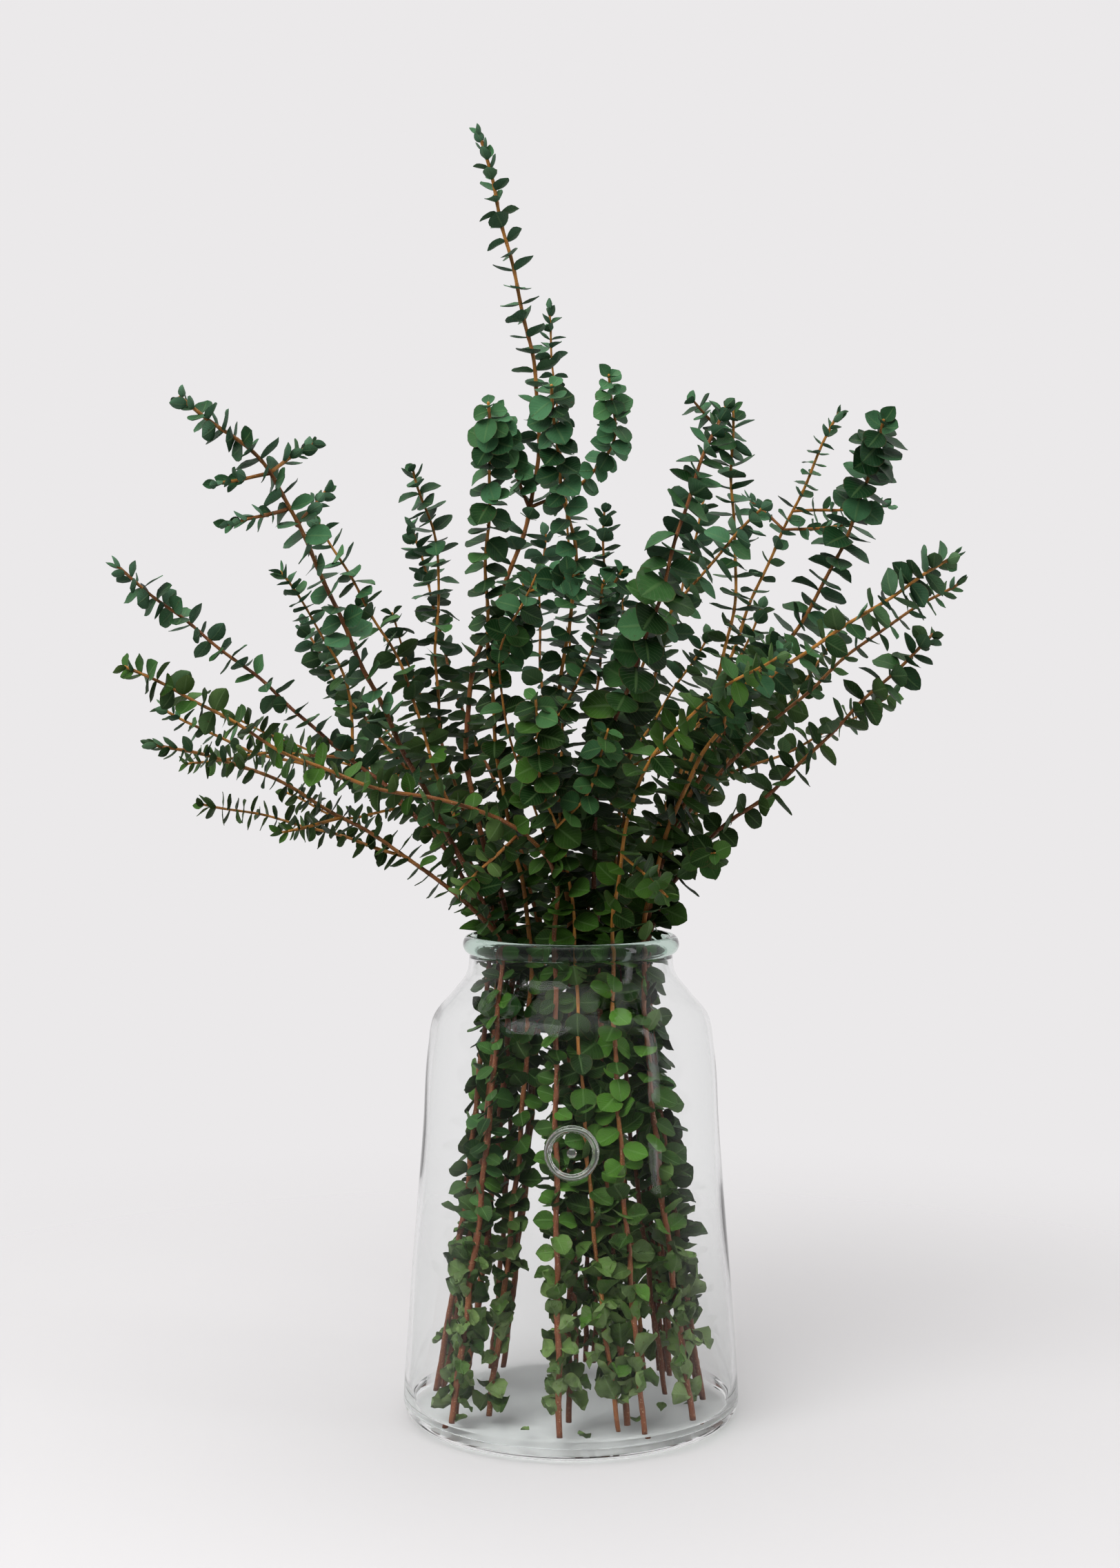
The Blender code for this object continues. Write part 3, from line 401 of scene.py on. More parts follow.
# Branches in the jar
# Thirty-two cut stems of preserved baby eucalyptus, most with side twigs, stand loosely on the glass
# floor, come together in the neck and lean out over the collar. Stems that would cross lie beside
# each other.
RING_SPACING = 0.070
TWIG_RING_SPACING = 0.052
TIP_SHARE = 0.45
STEM_GAP = 0.0009
SHORTEST_RADIUS = 0.0008
GLASS_GAP = 0.0012
FOOT_GAP = 0.0004
JAR_SIDES = 32
JAR_LEVELS = (0.100, 0.200, 0.290, 0.345)
NECK_REACH = 0.0660
FLOOR_REACH = 0.1060
WIDEST_LEAN = 0.105
BUNCH_OFFSET = 0.010
TWIG_RADIUS_SHARE = 0.55
TWIG_LEAF_SHARE = 0.85
TWIG_YOUNG_SHARE = 0.35
SWIRL = math.radians(10)
# On the floor the stems stand in groups: their directions from the middle, in degrees
FOOT_GROUPS = (-150, -116, -96, -62, -34, 8, 45, 82, 120, 160)
GROUP_PULL = 0.7
CM = 0.01
MM = 0.001

# Each branch: stem radius and leaf length in mm, the points of its way above the neck in cm from
# the middle of the jar's underside, and its side twigs in the same way, each starting at the stem.
BRANCHES = {
    "leader": (2.6, 17, [(-7.5, 1, 46), (-7, 2, 54.8), (-3.6, 2, 63.5), (-2.3, 2, 71), (-3.3, 1, 79.2),
                         (-5.2, 0, 87.2), (-6.5, -1, 92.6)],
               [[(-2.9, 2, 66), (-4.5, 0, 69.8), (-5.2, -3, 72.5)],
                [(-2.8, 2, 66), (1.1, 0, 67.9), (3.1, -4, 71.2), (2.6, -6, 74.6)]]),
    "tall_thin": (1.6, 13, [(-0.8, 8, 45), (0.1, 8, 60.7), (-0.6, 8, 69.6), (-1.3, 8, 76.7),
                            (-1.7, 8, 81.7)], []),
    "centre_left": (2.0, 18, [(-9.3, 8, 46.5), (-10.1, 10, 52.3), (-10.5, 11, 58.2), (-10.2, 11, 63.5),
                              (-10.5, 10, 67.8), (-12, 9, 69.7)],
                    [[(-9.6, 9, 48), (-11.6, 12, 52.3), (-14, 13, 58.9)]]),
    "front_left": (2.2, 17, [(-5.1, -3, 46.6), (-5.6, -4, 52.7), (-6, -5, 59.5), (-5.8, -7, 64.7),
                             (-5.4, -9, 68.8), (-5.6, -11, 72)],
                   [[(-5.6, -4, 53.5), (-3.8, -6.5, 56.5), (-3.2, -7.5, 60.5)]]),
    "front_centre": (2.2, 17, [(-1.1, -3, 47.8), (-1, -4, 52.4), (0, -5, 57.5), (0.3, -6, 62.3),
                               (-0.8, -8.5, 67.4), (-1.4, -12, 73)], []),
    "centre_back": (1.9, 18, [(1.2, 10, 46.5), (2.3, 12, 55), (2.6, 12, 60.4), (2.3, 12, 64.1),
                              (2.6, 12, 66.8)],
                    [[(2.6, 12, 60), (4.0, 10, 62)]]),
    "rosette": (1.5, 16, [(-2.6, -6, 45.5), (-4.9, -7, 50.5), (-5.0, -8, 54.6), (-3.3, -9.5, 57.2),
                          (-2.3, -10.5, 60.6)],
                [[(-2.6, -10, 59.2), (-1.1, -11.5, 60.2), (0.5, -12.5, 60.4)],
                 [(-3.6, -6.5, 48), (0.4, -9, 53), (1.8, -10, 57), (2.2, -11, 60)]]),
    "front_low": (1.8, 19, [(-0.6, -7, 42), (-2.0, -9, 46), (-2.6, -10.5, 49), (-2.4, -11.5, 52.2)],
                  [[(-0.9, -7.5, 43.2), (1.6, -9.5, 46.5), (2.4, -10.5, 50)]]),
    "round_leaves": (2.4, 25, [(1.8, -5, 45.5), (3.9, -9, 52.9), (6, -12, 59.1), (7.2, -12, 64),
                               (9.1, -11, 68.5), (10.4, -10, 71.9)], []),
    "right_upright": (2.1, 18, [(6.7, 2, 43.7), (9.3, 3, 49.7), (11.8, 4, 56.9), (12.3, 4, 62.5),
                                (11.9, 4, 67.5), (11.8, 2, 73.2)],
                      [[(11.8, 3, 71), (8.8, 1, 73.8)]]),
    "red_twigs": (2.1, 14, [(8.2, 6, 45), (11.2, 8, 52.8), (13.6, 9, 59.2), (16.2, 9, 64.8),
                            (20.1, 7, 73.7)],
                  [[(17, 9, 66.4), (20.5, 8, 66.9), (24, 6, 66.5)],
                   [(16.3, 9, 65), (20.6, 6, 65.1)],
                   [(16.3, 9, 65), (13.8, 11, 67.6)]]),
    "dark_round": (2.3, 20, [(7.7, -3, 43.9), (11.4, -3, 50.3), (16.9, -3, 58.4), (20, -5, 65),
                             (20.4, -7, 68), (21.2, -10, 70.9)], []),
    "right_high": (2.3, 20, [(7.3, -5, 44), (10.2, -6, 49.7), (16.6, -7, 55.6), (20.9, -7, 58.3),
                             (26.6, -7, 62)],
                   [[(10.2, -6, 49.7), (11.6, -9, 52.8), (14.6, -10, 55.4)]]),
    "right_mid": (2.2, 15, [(8, 3, 42.9), (11, 3, 46.6), (18.6, 3, 53.6), (22.6, 3, 57), (28.4, 2, 60.6)],
                  [[(11, 3, 46.6), (12.6, 6, 49.6), (13.6, 8, 53)]]),
    "right_low": (2.3, 19, [(7.9, 0, 39.5), (13.6, -3, 44.9), (16.6, -4, 47.8), (23, -4, 54.3),
                            (25.6, -4, 56.6)],
                  [[(8.5, -2, 40), (8.7, -5.5, 39.4), (9.9, -7, 41.4)]]),
    "front_right": (2.0, 20, [(3.6, -8, 41.7), (5.9, -10, 48.9), (8.6, -11, 51.5), (13.8, -13, 54.9)],
                    [[(3.6, -8.4, 41), (4.8, -10, 39.2), (6.6, -10.4, 38.6)]]),
    "behind_right": (1.8, 18, [(3.8, 6, 43.5), (5.1, 8, 49.6), (8.3, 9, 53), (10.7, 10, 57.1)], []),
    "grey_right": (2.0, 19, [(3.9, 0, 45.2), (5.1, 0, 52.8), (6.6, -1, 58.7), (9, -2, 60.6),
                            (13.6, -3, 65.7)],
                   [[(4.6, 0, 47), (9.5, -1, 50.5), (14.6, 0, 56.5)]]),
    "back_right": (1.9, 18, [(7.7, 8, 42.4), (10.3, 11, 48.6), (13.1, 13, 55), (15, 13, 59.4)], []),
    "left_high": (2.7, 18, [(-9.5, -2, 43.5), (-13.8, -4, 52.3), (-15.5, -5, 56.2), (-19.6, -7, 65.2),
                            (-21.4, -8, 68.5), (-26.8, -9, 72.6)],
                  [[(-20.8, -8, 67.5), (-24.3, -10, 66.6)],
                   [(-20.8, -8, 67.5), (-18.1, -5, 70)],
                   [(-19.6, -7, 65.2), (-23.5, -10, 63.8)],
                   [(-19, -7, 64), (-17.2, -5, 66.7)]]),
    "left_mid": (2.4, 17, [(-11.4, 3, 43.5), (-17, 5, 48), (-23.8, 6, 54), (-30.8, 5, 59.5),
                           (-33.6, 4, 61.9)],
                 [[(-16.4, 5, 47.3), (-16.1, 5, 50.3), (-17.6, 4, 55.3), (-21.4, 3, 61.5)],
                  [(-16.6, 5, 47.6), (-21.6, 3, 48.1), (-28.1, 1, 47.3)]]),
    "left_front": (2.2, 16, [(-2.8, -8, 42.9), (-7, -9, 44.6), (-16.5, -9, 46.8), (-23.5, -9, 50.7),
                             (-30.6, -9, 54.3)],
                   [[(-3.5, -8, 43), (-5.6, -9.6, 40.4), (-7.8, -9.4, 38.8)]]),
    "left_back": (2.1, 14, [(-9.7, 6, 41.9), (-20.4, 9, 47.2), (-27.8, 9, 49.4), (-31.3, 9, 51.5)],
                  [[(-13, 7, 43.5), (-18, 9, 43.2), (-22, 10.5, 45)]]),
    "left_low": (2.3, 15, [(-9.3, -6, 39.3), (-16.6, -6, 44.1), (-23.3, -6, 47.5), (-29.5, -6, 49)],
                 [[(-16, -6, 43.8), (-20.2, -8, 42.8)],
                  [(-12, -6, 41), (-19, -2, 43), (-26.5, -2, 44.6)]]),
    "grey_left": (2.0, 19, [(-9.7, 5, 45.1), (-11.8, 7, 52.3), (-15.8, 8, 59.8), (-19.5, 9, 66)], []),
    "back_top_right": (2.1, 19, [(3, 9, 44), (6, 15, 52), (9, 18, 61), (10.8, 19, 68.2)],
                       [[(4.6, 12, 48), (4.6, 18, 55), (4.2, 21, 61)]]),
    "back_top_left": (2.1, 19, [(-5, 9, 44), (-8.5, 14.5, 51), (-11, 18, 60), (-12.7, 19, 66.2)], []),
    "back_far_right": (2.2, 19, [(8.5, 9, 41.5), (14, 14, 49), (19, 18, 53.5), (21.5, 19.5, 57.4)],
                       [[(12, 12, 46), (18, 13, 48.5), (25.4, 13, 52.6)]]),
    "back_far_left": (2.2, 19, [(-8.6, 9.5, 42), (-14, 14, 48), (-19, 18, 54), (-21.7, 19.5, 58.4)],
                      [[(-12, 12.5, 46), (-19, 14, 47.5), (-26.6, 14.5, 50.8)]]),
    "back_middle": (2.0, 19, [(-1, 11, 43), (-2, 17.5, 50.5), (-2.5, 20, 58), (-2, 20.5, 65.8)], []),
    "back_low_right": (1.9, 18, [(5.5, 10.5, 40.5), (9.5, 17, 44.5), (14.5, 22, 50.8)], []),
    "back_low_left": (1.9, 18, [(-4.8, 10.8, 40.5), (-10.5, 17.5, 44.8), (-16.2, 22, 51)], []),
}


def steady(*numbers):
    """A repeatable value from 0 to 1: the fraction of a large multiple of a sine of the numbers."""
    total = sum(number * factor for number, factor in zip(numbers, (12.9898, 78.233, 37.719, 4.581)))
    value = math.sin(total) * 43758.5453
    return value - math.floor(value)


def spread(low, high, *numbers):
    """A repeatable value between two limits."""
    return low + (high - low) * steady(*numbers)


def unit(vectors):
    """Each vector divided by its own length."""
    return vectors / np.linalg.norm(vectors, axis=-1, keepdims=True)


class Chain:
    """One stem or twig: its branch, its points from foot to tip, its radius, the length of its leaves
    and the stem that it grows from."""

    def __init__(self, branch, points, radius, leaf, parent=None):
        self.branch = branch
        self.rest = np.array(points)
        self.points = np.array(points)
        self.radius = radius
        self.leaf = leaf
        self.parent = parent
        if parent is not None:
            self.hold = nearest_place(parent.rest, self.rest[0])
            self.rest[0] = place_on(parent.rest, self.hold)
            self.points = self.rest.copy()

    def radii(self):
        """Radius at each point, falling evenly from foot to tip."""
        share = np.linspace(1.0, TIP_SHARE, len(self.points))
        return np.maximum(self.radius * share, SHORTEST_RADIUS)


def nearest_place(points, target):
    """Span number and share of the span that lie nearest a target on a broken line."""
    starts = points[:-1]
    spans = points[1:] - starts
    share = np.clip(np.sum((target - starts) * spans, axis=1) / np.sum(spans * spans, axis=1), 0.0, 1.0)
    gaps = np.linalg.norm(starts + share[:, None] * spans - target, axis=1)
    best = int(np.argmin(gaps))
    return best, float(share[best])


def place_on(points, hold):
    """The point at a span number and share of the span."""
    span, share = hold
    return points[span] * (1.0 - share) + points[span + 1] * share


def way_in_jar(first, radius):
    """Points from the floor to the neck for a stem that leaves the neck towards its first outer point:
    it comes together with the others at the neck and spreads below it towards its group of feet."""
    direction = math.atan2(first[1], first[0] + BUNCH_OFFSET)
    lean = min(1.0, math.hypot(first[0] + BUNCH_OFFSET, first[1]) / WIDEST_LEAN)
    neck = (NECK_REACH - radius) * lean ** 0.8
    floor = FLOOR_REACH * (0.35 + 0.65 * lean ** 0.9)
    turns = [math.remainder(math.radians(group) - direction - SWIRL, 2 * math.pi) for group in FOOT_GROUPS]
    swing = SWIRL + GROUP_PULL * min(turns, key=abs)
    way = []
    for level in (inner_floor(floor - radius) + FOOT_GAP, *JAR_LEVELS):
        drop = max(0.0, (0.330 - level) / 0.330)
        reach = neck + (floor - neck) * drop ** 1.4
        turn = direction + swing * drop
        way.append((reach * math.cos(turn), reach * math.sin(turn), level))
    return way


def lay_chains():
    """Every stem and twig on its given way, in rings about one spacing apart."""
    chains = []
    for name, (radius, leaf, way, twigs) in BRANCHES.items():
        outer = np.array(way) * CM
        jar_way = way_in_jar(outer[0], radius * MM)
        whole = np.array(jar_way + [tuple(point) for point in outer])
        above = along(whole, np.linspace(length_of(whole[:len(jar_way)]), length_of(whole),
                                         round(length_of(whole[len(jar_way) - 1:]) / RING_SPACING) + 1))
        points = np.concatenate((whole[:len(jar_way) - 1], above))
        stem = Chain(name, points, radius * MM, leaf * MM)
        chains.append(stem)
        for twig in twigs:
            route = evenly(np.array(twig) * CM, TWIG_RING_SPACING)
            chains.append(Chain(name, route, radius * MM * TWIG_RADIUS_SHARE,
                                leaf * MM * TWIG_LEAF_SHARE, stem))
    return chains


def closest_places(starts, spans, first, second):
    """Shares of two straight spans where they come nearest each other, for arrays of pairs."""
    gap = starts[first] - starts[second]
    one = spans[first]
    two = spans[second]
    a = np.sum(one * one, axis=1)
    e = np.sum(two * two, axis=1)
    f = np.sum(two * gap, axis=1)
    c = np.sum(one * gap, axis=1)
    b = np.sum(one * two, axis=1)
    slant = np.maximum(a * e - b * b, 1e-14)
    s = np.clip((b * f - c * e) / slant, 0.0, 1.0)
    t = np.clip((b * s + f) / e, 0.0, 1.0)
    s = np.clip((b * t - c) / a, 0.0, 1.0)
    return s, t


def settle(chains, rounds=260, loose_share=0.6, pull_back=0.04, smoothing=0.15, reach=0.008):
    """Pushes crossing stems apart and keeps them inside the glass. In the first, loose share of the
    rounds they are also pulled back to their own way and their shift is evened along them."""
    counts = [len(chain.points) for chain in chains]
    offsets = np.concatenate(([0], np.cumsum(counts)))
    rest = np.concatenate([chain.rest for chain in chains])
    points = rest.copy()
    radii = np.concatenate([chain.radii() for chain in chains])
    branches = {name: number for number, name in enumerate(BRANCHES)}
    owner = np.concatenate([[branches[chain.branch]] * count for chain, count in zip(chains, counts)])
    heads = np.concatenate([np.arange(low, low + count - 1) for low, count in zip(offsets, counts)])
    first_all, second_all = np.triu_indices(len(heads), 1)
    other = owner[heads[first_all]] != owner[heads[second_all]]
    first_all = first_all[other]
    second_all = second_all[other]
    feet = np.array([low for low, chain in zip(offsets, chains) if chain.parent is None])
    grown = [(low, chains.index(chain.parent), chain.hold) for low, chain in zip(offsets, chains)
             if chain.parent is not None]
    for turn in range(rounds):
        if turn < rounds * loose_share:
            points += pull_back * (rest - points)
            shift = points - rest
            for low, high in zip(offsets[:-1], offsets[1:]):
                middle = (shift[low:high - 2] + shift[low + 2:high]) / 2
                points[low + 1:high - 1] += smoothing * (middle - shift[low + 1:high - 1])
        starts = points[heads]
        spans = points[heads + 1] - starts
        middles = starts + spans / 2
        halves = np.linalg.norm(spans, axis=1) / 2
        near = (np.linalg.norm(middles[first_all] - middles[second_all], axis=1)
                < halves[first_all] + halves[second_all] + reach)
        first = first_all[near]
        second = second_all[near]
        s, t = closest_places(starts, spans, first, second)
        apart = (starts[first] + s[:, None] * spans[first]) - (starts[second] + t[:, None] * spans[second])
        distance = np.maximum(np.linalg.norm(apart, axis=1), 1e-6)
        thick = (np.maximum(radii[heads[first]], radii[heads[first] + 1])
                 + np.maximum(radii[heads[second]], radii[heads[second] + 1]))
        lack = thick + STEM_GAP - distance
        tight = lack > 0
        push = (apart / distance[:, None] * (lack * 0.5)[:, None])[tight]
        s = s[tight][:, None]
        t = t[tight][:, None]
        moves = np.zeros_like(points)
        weights = np.zeros(len(points))
        for head, share, way in ((heads[first[tight]], s, push), (heads[second[tight]], t, -push)):
            scale = share**2 + (1 - share)**2
            np.add.at(moves, head, way * (1 - share) / scale)
            np.add.at(moves, head + 1, way * share / scale)
            np.add.at(weights, head, np.ones(len(head)) * 0.5)
            np.add.at(weights, head + 1, np.ones(len(head)) * 0.5)
        points += moves / np.maximum(weights, 1.0)[:, None]
        keep_in_glass(points, radii)
        points[feet, 2] = rest[feet, 2]
        for low, parent, hold in grown:
            points[low] = place_on(points[offsets[parent]:offsets[parent + 1]], hold)
    for chain, low, high in zip(chains, offsets[:-1], offsets[1:]):
        chain.points = points[low:high]


def keep_in_glass(points, radii):
    """Moves points below the rim inwards until their stem clears the glass."""
    reach = np.hypot(points[:, 0], points[:, 1])
    limit = inner_radius(points[:, 2]) * math.cos(math.pi / JAR_SIDES) - radii * 1.15 - GLASS_GAP
    inside = points[:, 2] < JAR_HEIGHT + 0.004
    tight = inside & (reach > limit)
    points[tight, :2] *= (limit[tight] / reach[tight])[:, None]


chains = lay_chains()
settle(chains)

# Wood of the stems
# Each branch is one woody shoot with its twigs: red-brown bark on the thick lower part, yellow to
# orange on the thin young wood, slightly swollen where each pair of leaves sits. The foot is cut.
BARK_RING_SPACING = 0.0036
BARK_SIDES = 8
JOINT_SWELLING = 0.22
JOINT_LENGTH = 0.0016
SWAY = 0.0007
# No stem follows this direction, so that a sideways direction can be worked out from it
SIDE_HINT = (0.31, 0.95, 0.05)
PAIR_SPACING = 0.0120
TIP_SPACING_SHARE = 0.46
FULL_SPACING_FROM_TIP = 0.100
# The bark's age goes with the stem's radius, and in the jar it is older by a share
YOUNGEST_RADIUS = 0.0007
YOUNG_TO_OLD = 0.0013
OLDER_IN_JAR = 0.25
# How the leaves of a branch stand: degrees above their stem's right angle, width for their length,
# mm from the stem's tip over which they are young and small, degrees by which they turn about their
# own length at random, degrees by which they turn to face outwards, and share of the usual spacing
USUAL_HABIT = (-4, 0.88, 30, 35, 8, 1.0)
LEAF_HABIT = {
    "leader": (2, 0.92, 90, 25, 5, 1.0),
    "leader_twigs": (-30, 1.05, 50, 15, 30, 0.70),
    "tall_thin": (2, 0.90, 60, 25, 5, 0.90),
    "centre_left": (-12, 0.95, 26, 25, 10, 1.0),
    "front_left": (-26, 1.02, 12, 18, 32, 0.80),
    "front_centre": (-26, 1.02, 12, 18, 32, 0.85),
    "centre_back": (0, 0.90, 40, 25, 5, 0.90),
    "rosette": (-5, 0.95, 20, 30, 20, 1.40),
    "rosette_twigs": (0, 1.0, 30, 20, 25, 0.60),
    "front_low": (-26, 0.98, 18, 20, 30, 1.0),
    "round_leaves": (-26, 1.05, 110, 18, 35, 0.90),
    "right_upright": (-8, 0.95, 26, 30, 20, 1.0),
    "red_twigs": (2, 0.80, 45, 30, 5, 1.0),
    "red_twigs_twigs": (10, 0.70, 150, 30, 0, 0.80),
    "dark_round": (-14, 1.08, 12, 30, 15, 0.72),
    "right_high": (-4, 0.80, 26, 55, 0, 0.90),
    "right_high_twigs": (0, 0.85, 80, 40, 10, 0.80),
    "right_mid": (2, 0.62, 30, 25, 0, 1.0),
    "right_low": (-4, 0.88, 30, 60, 0, 1.0),
    "left_high": (-8, 0.98, 35, 50, 10, 0.90),
    "left_high_twigs": (5, 0.80, 170, 30, 0, 0.90),
    "left_mid": (-4, 0.84, 26, 60, 0, 0.90),
    "left_mid_twigs": (2, 0.75, 60, 18, 0, 0.80),
    "left_front": (0, 0.92, 22, 55, 0, 0.90),
    "left_back": (0, 0.75, 35, 18, 0, 0.80),
    "left_low": (0, 0.72, 45, 18, 0, 0.75),
    "grey_right": (-16, 0.95, 30, 30, 20, 1.0),
    "grey_left": (-10, 0.90, 35, 30, 15, 1.0),
}


def stem_line(chain, number, places):
    """Points on a chain's centre line: the smooth curve through its points, swayed sideways by two
    slow sines of the distance that die out at its start."""
    places = np.asarray(places, dtype=float)
    tangents = unit(along(chain.points, places + 0.002) - along(chain.points, places - 0.002) + 1e-9)
    side = unit(np.cross(tangents, SIDE_HINT))
    free = np.clip(places / 0.03, 0.0, 1.0) * SWAY
    sway = free * np.sin(places / 0.0105 + number)
    swing = free * np.sin(places / 0.0161 + 2.0 * number)
    return (along(chain.points, places) + side * sway[:, None] + np.cross(tangents, side) * swing[:, None])


def habit_of(chain):
    """How the leaves of a stem stand, or those of its twigs where they differ."""
    own = LEAF_HABIT.get(chain.branch, USUAL_HABIT)
    return own if chain.parent is None else LEAF_HABIT.get(chain.branch + "_twigs", own)


def leaf_places(chain):
    """Distances of the pairs of leaves from the chain's start, from the tip down: closer together
    towards the tip."""
    length = length_of(chain.points)
    spacing = PAIR_SPACING * habit_of(chain)[-1]
    places = []
    place = length - 0.002
    while place > 0.012:
        places.append(place)
        share = min(1.0, (length - place) / FULL_SPACING_FROM_TIP)
        place -= spacing * (TIP_SPACING_SHARE + (1.0 - TIP_SPACING_SHARE) * share)
    return np.array(places)


def stem_surface(chain, number):
    """A ring of points round each point of the centre line: p + r (cos a s + sin a t), where r falls
    from foot to tip, swells at each leaf pair and wavers with the angle. Returns the points, the
    faces and what is kept on the points: place on the bark, age of the wood and swelling."""
    length = length_of(chain.points)
    marks = np.linspace(0.0, length, max(4, round(length / BARK_RING_SPACING)))
    centre = stem_line(chain, number, marks)
    tangents = unit(np.gradient(centre, axis=0))
    side = unit(np.cross(tangents, SIDE_HINT))
    across = np.cross(tangents, side)
    pairs = leaf_places(chain)
    swelling = np.exp(-((marks[:, None] - pairs[None, :]) / JOINT_LENGTH) ** 2).max(axis=1)
    radius = np.maximum(np.interp(marks, np.linspace(0.0, length, len(chain.points)), chain.radii()),
                        SHORTEST_RADIUS)
    radius = radius * (1.0 + JOINT_SWELLING * swelling)
    turns = 2 * math.pi * np.arange(BARK_SIDES) / BARK_SIDES
    rough = 1.0 + 0.05 * np.sin(3 * turns[None, :] + marks[:, None] * 160 + number)
    rings = (centre[:, None] + (radius[:, None] * rough * np.cos(turns))[..., None] * side[:, None]
             + (radius[:, None] * rough * np.sin(turns))[..., None] * across[:, None])
    if chain.parent is None:
        rings[0, :, 2] = centre[0, 2]
    count = len(marks)
    grain = np.stack(np.broadcast_arrays(np.cos(turns)[None, :], np.sin(turns)[None, :], marks[:, None]),
                     axis=-1).reshape(-1, 3)
    ends = np.stack((centre[0], centre[-1] + tangents[-1] * 0.0006))
    first = np.arange(BARK_SIDES)
    last = (count - 1) * BARK_SIDES + first
    faces = [ring_faces(count, BARK_SIDES),
             np.concatenate((fan(first, count * BARK_SIDES), fan(last[::-1], count * BARK_SIDES + 1)))]
    bare = radius / (1.0 + JOINT_SWELLING * swelling)
    old = (bare - YOUNGEST_RADIUS) / YOUNG_TO_OLD + spread(-0.35, 0.35, number, 31)
    old = np.clip(old + np.where(centre[:, 2] < JAR_HEIGHT, OLDER_IN_JAR, 0.0), 0.0, 1.0)
    kept = {"grain": np.concatenate((grain, [(0.0, 0.0, 0.0), (0.0, 0.0, length)])),
            "old": np.concatenate((np.repeat(old, BARK_SIDES), (old[0], old[-1]))),
            "joint": np.concatenate((np.repeat(swelling, BARK_SIDES), (0.0, 0.0)))}
    return np.concatenate((rings.reshape(-1, 3), ends)), faces, kept


def joined(parts):
    """Several surfaces in one: their points one after another, with the faces counted on."""
    places = np.concatenate([part[0] for part in parts])
    starts = np.cumsum([0] + [len(part[0]) for part in parts[:-1]])
    faces = [np.concatenate([part[1][group] + start for part, start in zip(parts, starts)])
             for group in range(len(parts[0][1]))]
    kept = {label: np.concatenate([part[2][label] for part in parts]) for label in parts[0][2]}
    return places, faces, kept


def bark():
    """Bark: red-brown on old wood, yellow-orange on young wood, streaked lengthwise, with pale specks
    and darker, duller rings at the leaf pairs."""
    finish = Finish(bpy.data.materials.new("bark"))
    grain = finish.kept("grain", "Vector")
    stretched = finish.node("ShaderNodeVectorMath", {"operation": "MULTIPLY"}, (grain, (1.0, 1.0, 60.0)))
    streaks = finish.clouds(stretched, 2.6, 3.0, 0.6)
    patches = finish.clouds(finish.place(), 45.0, 2.0)
    specks = finish.clouds(finish.place(), 900.0, 1.0).step(0.63, 0.70)
    age = (finish.kept("old") + (patches - 0.5) * 0.9).step(0.0, 1.0)
    young_wood = finish.mix(streaks, (0.33, 0.115, 0.018), (0.55, 0.26, 0.045))
    old_wood = finish.mix(streaks, (0.050, 0.018, 0.009), (0.22, 0.062, 0.024))
    colour = finish.mix(age, young_wood, old_wood)
    colour = finish.mix(finish.kept("joint") * 0.55, colour, (0.12, 0.055, 0.025))
    colour = finish.mix(specks * 0.4, colour, (0.50, 0.36, 0.22))
    finish.set({"Base Color": colour, "Roughness": streaks.step(0.3, 0.7, 0.62, 0.45),
                "Specular IOR Level": 0.3, "Normal": finish.bump(streaks, 0.0004)})
    return finish


bark_finish = bark()
for branch in BRANCHES:
    parts = [stem_surface(chain, number) for number, chain in enumerate(chains) if chain.branch == branch]
    places, faces, kept = joined(parts)
    wood = surface(branch + "_wood", places, faces, [bark_finish], kept=kept)
    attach(wood, "root")
    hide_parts(branch)

# Leaves
# Leathery round leaves of preserved baby eucalyptus, set in opposite pairs that cross each other,
# without stalks. They are dark matte green above and paler below, with a pale midrib and edge.
# Those in the jar lie against the glass, and low down they are olive, crumpled and pressed together.
BLADE_THICKNESS = 0.0005
SHARPEST_FOLD = 55
BUD_LENGTH = 0.009
BUD_LIFT = 50
STEEPEST_LEAF = 66
STEEPEST_JAR_LEAF = 78
LOWEST_JAR_LEAF = -75
JAR_LEAF_TOP = 0.35
JAR_LEAF_FOOT = 0.013
JAR_LEAF_SHARE = 0.95
JAR_LEAF_FACING = 60
# Degrees above the stem's right angle for a leaf that lies against the glass and for one that is
# pressed to its stem, each way, and the share of them that lie the first way
AGAINST_GLASS = (-55, 55, 0.65)
ALONG_STEM = (55, -52, 0.60)
# Below this height leaves are pressed, fully so where they are a further depth down. Part of the
# pressed ones has dropped off, fewer in front than behind, and every seventh chain has lost more.
PRESSED_BELOW = 0.20
PRESSED_DEPTH = 0.12
LOST_IN_FRONT = 0.14
LOST_BEHIND = 0.65
LOST_ON_BARE = 0.60
# The heart of the bunch, within this radius at the rim and wider higher up, is painted darker by a share
# that falls off above a height: painted shade for the shade deep inside the bunch
HEART_RADIUS = 0.07
HEART_SPREAD = 0.55
HEART_PAINTED_SHADE = 0.62
HEART_PAINTED_SHADE_LOSS = 0.50
SHADE_FALLS_ABOVE = 0.50
SHADE_FALLS_OVER = 0.14
# Leaves are mossy low down and bluish above
WARM_BELOW = 0.66
WARM_DEPTH = 0.24
# Middle tone and how far leaves differ from it, in the open and in the jar
OPEN_TONE = (0.50, 0.34)
JAR_TONE = (0.45, 0.40)
YOUNG_TONE = 0.15
# Half outline from the root to the tip: share of the length, share of the width
BLADE_ROWS = [(0.0, 0.05), (0.06, 0.24), (0.20, 0.43), (0.40, 0.51), (0.60, 0.49), (0.79, 0.37),
              (0.93, 0.17), (1.0, 0.010)]
